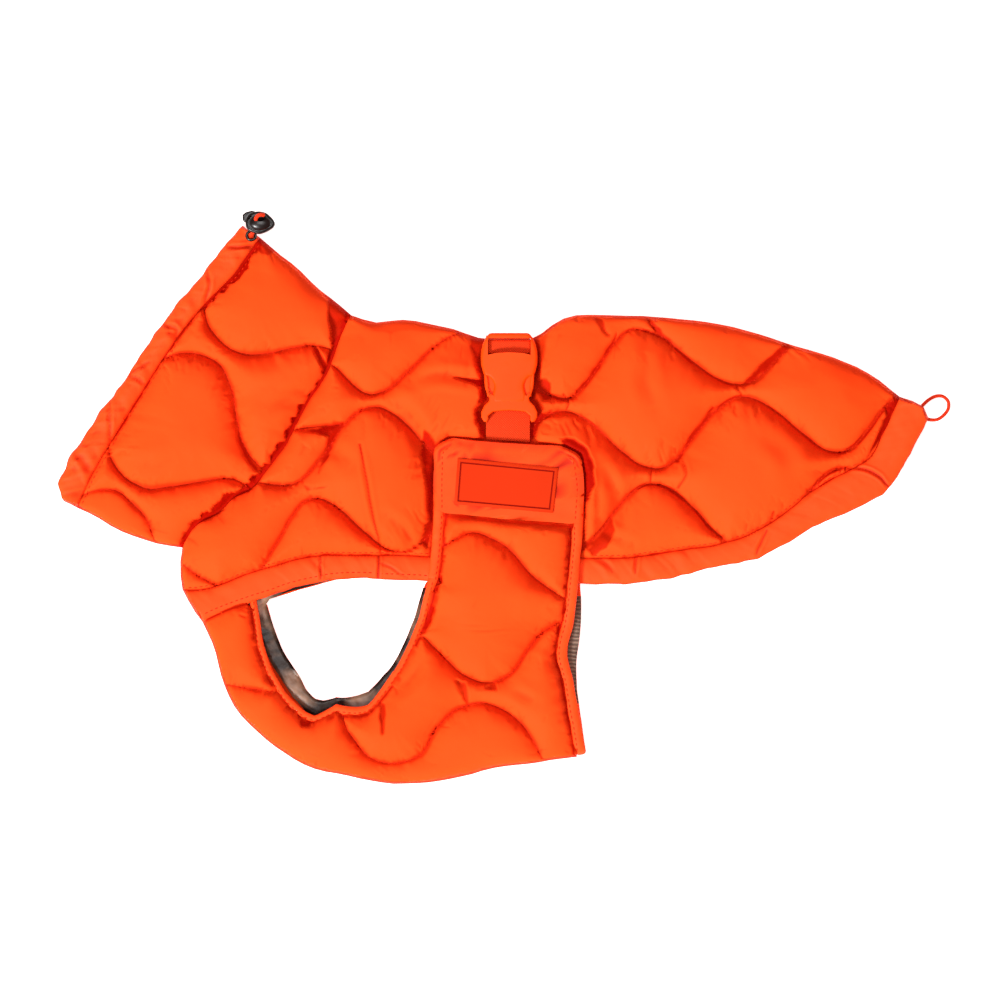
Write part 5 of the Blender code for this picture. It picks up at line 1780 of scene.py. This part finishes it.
@dataclass
class Buckle:
    """Side-release buckle in moulded acetal: the socket with its webbing slot, and the prongs."""

    low: float = DECK_TOP + STRAP_THICK + 2 * GAP
    thick: float = 8.6
    edge: float = 1.7
    crown: float = 0.9  # how far the middle rises
    half_width: float = 16.5
    sharp: float = 40.0
    socket_half: tuple = (
        (8.6, 57.6), (9.6, 60.3), (9.6, 62.6), (8.7, 65.6), (8.6, 68), (9.7, 70.8), (11.4, 72.6),
        (13.9, 73.0), (14.9, 75.6), (15.9, 79.6), (16.1, 83.2), (15.8, 87.4), (15.0, 91.0),
        (13.4, 94.6), (11.4, 97.0), (9.5, 97.4))
    prong_half: tuple = (
        (9.2, 52.8), (11.9, 50.4), (11.8, 48.6), (12.6, 46.8), (14.4, 47.3), (15.8, 49.6),
        (15.9, 52.6), (14.2, 56.2), (11.6, 58.8), (11.2, 60.4), (12.4, 62.6), (13.6, 66.0),
        (14.0, 69.4), (14.2, 74.8), (12.8, 74.6), (12.0, 71.6), (11.5, 67.6), (11.5, 64.6),
        (10.9, 62.6), (8.0, 62.0))
    arch: tuple = ((-4.5, 53.4), (0, 53.6), (4.5, 53.4))
    rail: tuple = ((7.5, 61.5), (12.4, 61.5), (13.2, 66), (13.4, 73), (7.5, 73))
    slot: tuple = ((-12.1, 94.4), (-12.1, 84.9), (-8, 85.9), (0, 86.4), (8, 85.9), (12.1, 84.9),
                   (12.1, 94.4))

    def centred(self, outline: Sequence, side: int = 1) -> list:
        """An outline placed on the buckle's middle line, or mirrored there by a side of -1."""
        return [(BUCKLE_X + side * x, y) for x, y in outline]

    def whole(self, half: Sequence) -> list:
        """The whole outline of a right half, from its first point round to its mirror image."""
        return self.centred(half) + self.centred(half[::-1], -1)

    def moulding(self, outline: Sequence, thick: float) -> Mesh:
        """A moulded plate with a rounded rim and a crowned top.

        Args:
            outline: Its outline in millimetres.
            thick: Its thickness.

        Returns:
            The mesh.
        """
        mesh = mould(outline, self.low, thick - self.crown, self.edge)
        bmesh.ops.triangulate(mesh, faces=[f for f in mesh.faces if len(f.verts) > 4])
        for _ in range(2):
            long_ones = [e for e in mesh.edges if e.calc_length() > 2.2 * MM]
            bmesh.ops.subdivide_edges(mesh, edges=long_ones, cuts=1)
            bmesh.ops.triangulate(mesh, faces=[f for f in mesh.faces if len(f.verts) > 4])
        middle = (self.low + thick * 0.5) * MM
        for vertex in mesh.verts:
            if vertex.co.z > middle:
                across = (vertex.co.x / MM - BUCKLE_X) / self.half_width
                share = (vertex.co.z - middle) / (thick * 0.5 * MM)
                vertex.co.z += self.crown * MM * max(0.0, 1 - across ** 2) * share
        return mesh

    def build(self) -> list[Piece]:
        """Make the socket and the prongs.

        Returns:
            The pieces.
        """
        mesh = self.moulding(self.whole(self.socket_half), self.thick)
        socket = add_piece("buckle_socket_moulding", mesh, ACETAL, ["buckle_socket"], self.sharp)
        cut_away(socket, mould(self.centred(self.slot), 10.0, 25.0, 0.05), self.sharp)
        mesh = self.moulding(self.whole(self.prong_half) + self.centred(self.arch),
                             self.thick - 0.15)
        for side in (-1, 1):
            mould(self.centred(self.rail, side), self.low, 6.6, 0.3, mesh)
        prongs = add_piece("buckle_prongs_moulding", mesh, ACETAL, ["buckle_prongs"], self.sharp)
        return [socket, prongs]


@dataclass
class CordLock:
    """Cord lock with its button, the eyelet, the drawstring's end and its knot.

    Outlines are given from the lock's centre.
    """

    centre: tuple[float, float] = (-132.5, 160.0)
    body: tuple = (
        (-7.2, -2.7), (-7.5, -0.4), (-6.9, 2.4), (-4.9, 4.7), (-2.1, 5.9), (1.3, 6.0), (4.3, 5.1),
        (6.6, 3.2), (8.4, 1.2), (9.2, -0.8), (8.5, -2.6), (6.2, -4.4), (3.4, -5.8), (0.4, -6.6),
        (-3.4, -5.8), (-6.0, -4.6))
    body_low: float = 20.9
    body_rings: tuple = ((0.3, -0.5), (0.35, 0.0), (0.3, 0.6))
    button: tuple = ((-9.3, 4.1), (-9.1, 1.1), (-8.1, 0.0), (-5.0, 0.4), (-2.3, 4.6), (-2.3, 6.2),
                     (-4.0, 6.6), (-7.4, 5.7))
    button_low: float = 21.6
    slot: tuple = ((-7.6, 4.0), (-6.6, 3.0), (-3.9, 5.0), (-4.6, 5.9))
    knot: tuple = ((-1.6, 0.6, 26.6), (-1.4, 2.2, 27.9), (-0.3, 3.6, 28.3), (1.4, 4.1, 28.3),
                   (3.0, 3.9, 27.2))
    cap: tuple = ((0.7, -0.3, 26.0), (6.2, 4.4, 2.3))  # middle and radii
    bowl: tuple = ((0.6, 2.7, 28.7), (4.2, 2.5, 3.4))
    sharp: float = 35.0
    eye: tuple[float, float] = (-137.2, 152.8)
    eye_radii: tuple[float, float] = (2.5, 0.85)
    cord_end: tuple = ((0.0, 0.0, -1.2), (0.0, 0.0, 1.0), (1.0, 1.4, 3.0), (3.0, 4.0, 4.6))

    def placed(self, outline: Sequence) -> list:
        """An outline moved to the lock's centre."""
        return [(self.centre[0] + row[0], self.centre[1] + row[1], *row[2:]) for row in outline]

    def ball(self, middle: Sequence[float], radii: Sequence[float]) -> Mesh:
        """An ellipsoid.

        Args:
            middle: Its middle from the lock's centre.
            radii: Its radii in millimetres.

        Returns:
            The mesh.
        """
        mesh = bmesh.new()
        place = Matrix.Translation(in_frame(self.placed([middle])[0]))
        bmesh.ops.create_uvsphere(mesh, u_segments=32, v_segments=16, radius=MM,
                                  matrix=place @ Matrix.Diagonal((*radii, 1.0)))
        return mesh

    def build(self, cloth: BVHTree) -> list[Piece]:
        """Make every piece, the eyelet on the cloth's own surface.

        Args:
            cloth: The cloth's surface.

        Returns:
            The pieces.
        """
        outline = smooth_curve(self.placed([*self.body, self.body[0]]), 1.1)[:-1]
        mesh = mould(outline, self.body_low, 5.4, 1.0)
        lid = max(mesh.faces, key=lambda face: face.calc_center_median().z)
        framed(mesh, [lid], self.body_rings)
        shell = add_piece("cord_lock_shell", mesh, BLACK_NYLON, ["cord_lock_body"], self.sharp)
        cap = add_piece("cord_lock_cap", self.ball(*self.cap), BLACK_NYLON, (), self.sharp)
        for part in (shell, cap):
            cut_away(part, self.ball(*self.bowl), self.sharp)
        mesh = mould(self.placed(self.button), self.button_low, 4.2, 0.8)
        slide = add_piece("cord_lock_slide", mesh, BLACK_NYLON, ["cord_lock_button"], self.sharp)
        cut_away(slide, mould(self.placed(self.slot), self.button_low + 1.6, 5.0, 0.05), self.sharp)
        knot = round_cord("drawstring_knot_braid", self.placed(self.knot), 1.15, "drawstring_knot")
        return [shell, cap, slide, knot, *self.build_eyelet(cloth)]

    def build_eyelet(self, cloth: BVHTree) -> list[Piece]:
        """The eyelet's ring, with the end of the drawstring coming up through it.

        Args:
            cloth: The cloth's surface.

        Returns:
            The ring and the cord.
        """
        x, y = self.eye
        height = cloth.ray_cast(in_frame((x - 1.5, y - 1.5, ABOVE_ALL)), DOWN)[0].z / MM + 0.9
        middle = in_frame((x, y, height))
        outer, inner = self.eye_radii
        mesh = bmesh.new()
        place = Matrix.Translation(middle + Vector((outer * MM, 0, 0)))
        made = bmesh.ops.create_circle(mesh, segments=12, radius=inner * MM,
                                       matrix=place @ Matrix.Rotation(math.pi / 2, 4, "X"))
        bmesh.ops.spin(mesh, geom=made["verts"] + mesh.edges[:], cent=middle, axis=(0, 0, 1),
                       angle=2 * math.pi, steps=36, use_merge=True)
        bmesh.ops.remove_doubles(mesh, verts=mesh.verts, dist=1e-6)
        bmesh.ops.recalc_face_normals(mesh, faces=mesh.faces)
        ring = add_piece("eyelet_ring", mesh, EYELET_METAL, ["eyelet"])
        route = [(x + dx, y + dy, height + dz) for dx, dy, dz in self.cord_end]
        return [ring, round_cord("drawstring_braid", route, 1.1, "drawstring_end")]


@dataclass
class TailLoop:
    """The elastic loop at the tail, a cord of its real length."""

    route: tuple = ((244.2, 56.5, 6.6), (247.6, 59.6, 6.0), (252.4, 62.0, 4.6), (256.4, 61.8, 3.1),
                    (259.3, 59.0, 2.0), (259.4, 55.0, 1.9), (256.6, 51.0, 2.9), (252.6, 48.6, 4.4),
                    (248.0, 48.7, 5.8), (246.2, 49.3, 6.2))
    radius: float = 1.0

    def build(self) -> Piece:
        """Make the cord.

        Returns:
            The cord.
        """
        cord = round_cord("tail_loop_cord", self.route, self.radius, "tail_loop")
        points = smooth_curve(self.route, CORD_STEP)
        tuple(in_frame(self.route[0]))
        return cord


@dataclass
class Stitching:
    """Rows of lockstitch sewn through the cloth beside its seams and along its hems."""

    cloth: list[Piece]
    pitch: float = 3.1
    length: float = 2.1
    thick: float = 0.34
    steepest: float = 1.5  # a stitch is left out where the cloth steps more than this
    lowest: float = 11.0  # or where it lies lower than this

    def heights(self) -> BVHTree:
        """A tree of every cloth surface that a row can lie on.

        Returns:
            The tree.
        """
        joined = bmesh.new()
        for piece in self.cloth:
            joined.from_mesh(piece.data)
        return BVHTree.FromBMesh(joined)

    def sew(self, name: str, rows: Sequence[Array],
            hidden: Array | None = None) -> Piece:
        """Sew rows of stitches.

        Args:
            name: The piece's name.
            rows: Flat curves that the rows follow, in millimetres.
            hidden: Outline of cloth that covers the rows.

        Returns:
            The stitches as one piece.
        """
        tree = self.heights()
        mesh = bmesh.new()
        half = self.length / self.pitch / 2
        for row in rows:
            stops = strayed(evenly(row, self.pitch))
            shown = np.ones(len(stops), bool) if hidden is None else outside_by(hidden, stops) > 1
            for a, b in zip(stops[:-1][shown[:-1]], stops[1:][shown[:-1]]):
                spots = [a + (b - a) * share for share in (0.5 - half, 0.5 + half)]
                ends = [tree.ray_cast(in_frame((*spot, ABOVE_ALL)), DOWN)[0] for spot in spots]
                if None in ends or abs(ends[0].z - ends[1].z) > self.steepest * MM:
                    continue
                if ends[0].z < self.lowest * MM:
                    continue
                along = ends[1] - ends[0]
                turn = along.to_track_quat("X", "Z").to_matrix().to_4x4()
                size = Matrix.Diagonal((along.length / 2 / MM, self.thick, self.thick * 0.8, 1.0))
                place = Matrix.Translation((ends[0] + ends[1]) / 2) @ turn @ size
                bmesh.ops.create_icosphere(mesh, subdivisions=1, radius=1.0 * MM, matrix=place)
        return add_piece(name, mesh, THREAD)


# ---------------- the setting


@dataclass
class Camera:
    """Camera straight above the coat, far enough away to look down evenly."""

    lens: float = 200.0
    sensor: float = 36.0
    width: float = 0.568  # of the view, in metres
    middle: tuple[float, float] = (0.00398, -0.00146)
    level: float = 0.012  # height at which the view has that width

    def build(self) -> None:
        """Add the camera to the scene."""
        camera = bpy.data.cameras.new("camera")
        camera.lens, camera.sensor_width, camera.clip_end = self.lens, self.sensor, 20
        holder = add_object("camera", camera)
        holder.location = (*self.middle, self.width * self.lens / self.sensor + self.level)
        bpy.context.scene.camera = holder


@dataclass
class Studio:
    """Pale lit table, a soft key light from the belly side and a pale sky."""

    lights: tuple = (("key", (-1.95, -2.3, 2.8), 226.0), ("top", (-0.1, 0.2, 2.2), 20.0))
    light_size: float = 1.0
    table: tuple = (("Base Color", (0.9, 0.9, 0.9, 1)), ("Roughness", 0.9),
                    ("Emission Color", (1, 1, 1, 1)), ("Emission Strength", 0.8))
    table_low: float = -0.0002
    sky: tuple = (("Color", (1, 0.42, 0.3, 1)), ("Strength", 0.44))

    def build(self) -> None:
        """Add the table, the lights and the sky."""
        mesh = bmesh.new()
        bmesh.ops.create_grid(mesh, x_segments=1, y_segments=1, size=4.0)
        floor = add_object("floor", mesh)
        acrylic = bpy.data.materials.new("Lit white acrylic table")
        world = bpy.data.worlds.new("studio")
        for owner, node, values in ((acrylic, "Principled BSDF", self.table),
                                    (world, "Background", self.sky)):
            owner.use_nodes = True
            for socket, value in values:
                owner.node_tree.nodes[node].inputs[socket].default_value = value
        floor.data.materials.append(acrylic)
        floor.data.transform(Matrix.Translation((0, 0, self.table_low)))
        for name, place, power in self.lights:
            light = bpy.data.lights.new(name, "AREA")
            light.shape, light.size, light.energy = "DISK", self.light_size, power
            holder = add_object(name, light)
            holder.location = place
            holder.rotation_euler = (-Vector(place)).to_track_quat("-Z", "Y").to_euler()
        bpy.context.scene.world = world
        bpy.context.scene.view_settings.view_transform = "Standard"


# ---------------- the coat


def make_panels() -> list[QuiltedPanel]:
    """The three quilted panels, ready to swell.

    Returns:
        The back panel, the collar and the chest panel.
    """
    neck, channel = smooth_curve(NECK_SEAM), smooth_curve(CHANNEL_SEAM)
    hems = smooth_curves([HEM_TOP_FRONT, HEM_TOP_REAR])
    flap = shifted(smooth_curve(FLAP_EDGE_NEAR), BINDING + TAPE_OVERLAP)
    arm = shifted(smooth_curve(ARM_EDGE_NEAR), ARM_BINDING + TAPE_OVERLAP)
    hem_low = smooth_curve(HEM_LOW_NEAR)
    # the shadings lay painted shade beside the buckle and the flap, and below the yoke
    back = QuiltedPanel(
        "back_panel", (0.41, 0.30), 0.087,
        [half_waves(row) for row in BODY_WAVES] + smooth_curves(BODY_SEAMS),
        [Join(neck, 0.0, 0.0, 0.8)] + [Join(edge, 0.9, 0.8, 1.0) for edge in hems],
        smooth_curves([BACK_EDGE, CHEST_FRONT]), level_under, 11.0, 25.0,
        [Crease(*row) for row in BODY_CREASES], [Hollow(*row) for row in BODY_HOLLOWS],
        [painted_shade_by_buckle, painted_shade_by_flap], press=pressed, seed=2, groove=(0.4, 1.1))
    collar = QuiltedPanel(
        "collar", (0.19, 0.24), 0.0325, smooth_curves(COLLAR_SEAMS),
        [Join(channel[channel[:, 1] > 113], 1.8, 4.2, 1.6, 12.0),
         Join(channel[(channel[:, 1] > 36) & (channel[:, 1] < 118)], 1.6, 1.4, 1.8, 12.0),
         Join(channel[channel[:, 1] < 40], 1.0, 0.5, 1.0, 12.0),
         Join(neck[neck[:, 1] > 10], 3.0, 3.7, 1.8, 15.0),
         Join(neck[neck[:, 1] < 13], 3.0, 5.2, 1.8, 15.0)],
        smooth_curves([COLLAR_TOP, COLLAR_LOW]), level_under, 10.0, 22.0,
        [Crease(*row) for row in COLLAR_CREASES], [Hollow(*row) for row in COLLAR_HOLLOWS], seed=3)
    chest = QuiltedPanel(
        "chest_panel", (0.215, 0.33), 0.048, smooth_curves(FLAP_SEAMS),
        [Join(flap, 1.6, 1.5, 0.9), Join(arm, 1.0, 0.6, 0.9),
         Join(hem_low[hem_low[:, 0] < CHEST_SEAM_X], 0.8, 0.7, 0.8)],
        smooth_curves([BELLY_FOLD]), flap_under, 9.0, 22.0,
        [Crease(*row) for row in CHEST_CREASES], [Hollow(*row) for row in CHEST_HOLLOWS],
        [painted_shade_below_yoke], closing=0.9, overlap=1.6, corner=(-31.0, -52.0, 11.0, 15.0),
        flat_part=yoke_free, lies_on=("back_panel_quilted",), seed=4)
    return [back, collar, chest]


def make_bands() -> list[Band]:
    """The drawstring channel and the hems.

    Returns:
        The bands.
    """
    channel, head, front, rear, low_front, low_rear = smooth_curves(
        [CHANNEL_SEAM, HEAD_EDGE, HEM_TOP_FRONT, HEM_TOP_REAR, HEM_LOW_NEAR, HEM_LOW_REAR])
    return [
        Band("drawstring_channel", (0.19, 0.05), 0.0086, [channel, head], 3.6, 1.7, 5.0, [channel],
             seed=7, creases=[Crease(*row) for row in CHANNEL_CREASES]),
        Band("front_hem_band", (0.17, 0.055), 0.0078, [front, low_front], 2.4, 0.6, 6.0,
             [front, low_front[low_front[:, 0] < CHEST_SEAM_X]], True, 8,
             [Crease(*row) for row in FRONT_HEM_CREASES]),
        Band("rear_hem_band", (0.265, 0.055), 0.0124, [rear, low_rear], 2.4, 0.7, 5.5, [rear], True,
             9, [Crease(*row) for row in REAR_HEM_CREASES])]


def sew_everything(stitching: Stitching,
                   panels: Sequence[Piece]) -> list[Piece]:
    """Sew the rows of stitches: hems and channel, bindings, and the quilting of each panel.

    Args:
        stitching: Stitching on all the cloth.
        panels: The back panel, the collar and the chest panel.

    Returns:
        The stitches' pieces.
    """
    front, rear, low_front, channel, flap, arm = smooth_curves(
        [HEM_TOP_FRONT, HEM_TOP_REAR, HEM_LOW_NEAR, CHANNEL_SEAM, FLAP_EDGE_NEAR, ARM_EDGE_NEAR])
    hems = [shifted(front, 1.6), shifted(rear[rear[:, 0] < 208], 1.6), shifted(low_front, 3.4),
            shifted(channel, 2.0)]
    sewn = [stitching.sew("hem_stitches", hems, FLAP_ZONE),
            stitching.sew("binding_stitches", [shifted(flap, 4.6), shifted(arm, 3.0)], YOKE_ZONE)]
    body = [half_waves(row) for row in BODY_WAVES] + smooth_curves(BODY_SEAMS[:2])
    quilting = ((body, FLAP_ZONE), (smooth_curves(COLLAR_SEAMS), None),
                (smooth_curves(FLAP_SEAMS), None))
    for panel, (rows, hidden) in zip(panels, quilting):
        name = panel.name.replace("quilted", "quilting_stitches")
        sewn.append(Stitching([panel], 3.1, 1.9, 0.26).sew(name, rows, hidden))
    return sewn


def report(pieces: Sequence[Piece]) -> list[Piece]:
    """Report each piece, and hand the pieces on.

    Args:
        pieces: The pieces.

    Returns:
        The same pieces.
    """
    for piece in pieces:
        LOG.info("built %s", piece.name)
    return list(pieces)


def main() -> None:
    """Build the coat piece by piece."""
    Camera().build()
    report([TailLoop().build()])
    panels = make_panels()
    for panel in panels:
        panel.refine()
        panel.shape()
    swell_together(panels)
    for panel in panels:
        panel.refine_again()
        panel.gather()
    quilted = report([panel.build() for panel in panels])
    bands = report([band.build() for band in make_bands()])
    tapes = report(Tapes().build())
    report(Linings().build())
    label = report(Label().build())
    report(Webbing().build())
    report(Buckle().build())
    stitching = Stitching(quilted + bands + tapes + label)
    report(CordLock().build(stitching.heights()))
    report(sew_everything(stitching, quilted))
    Studio().build()
    LOG.info("size written")


if __name__ == "__main__":
    logging.basicConfig(level=logging.INFO, format="%(name)s: %(message)s")
    main()
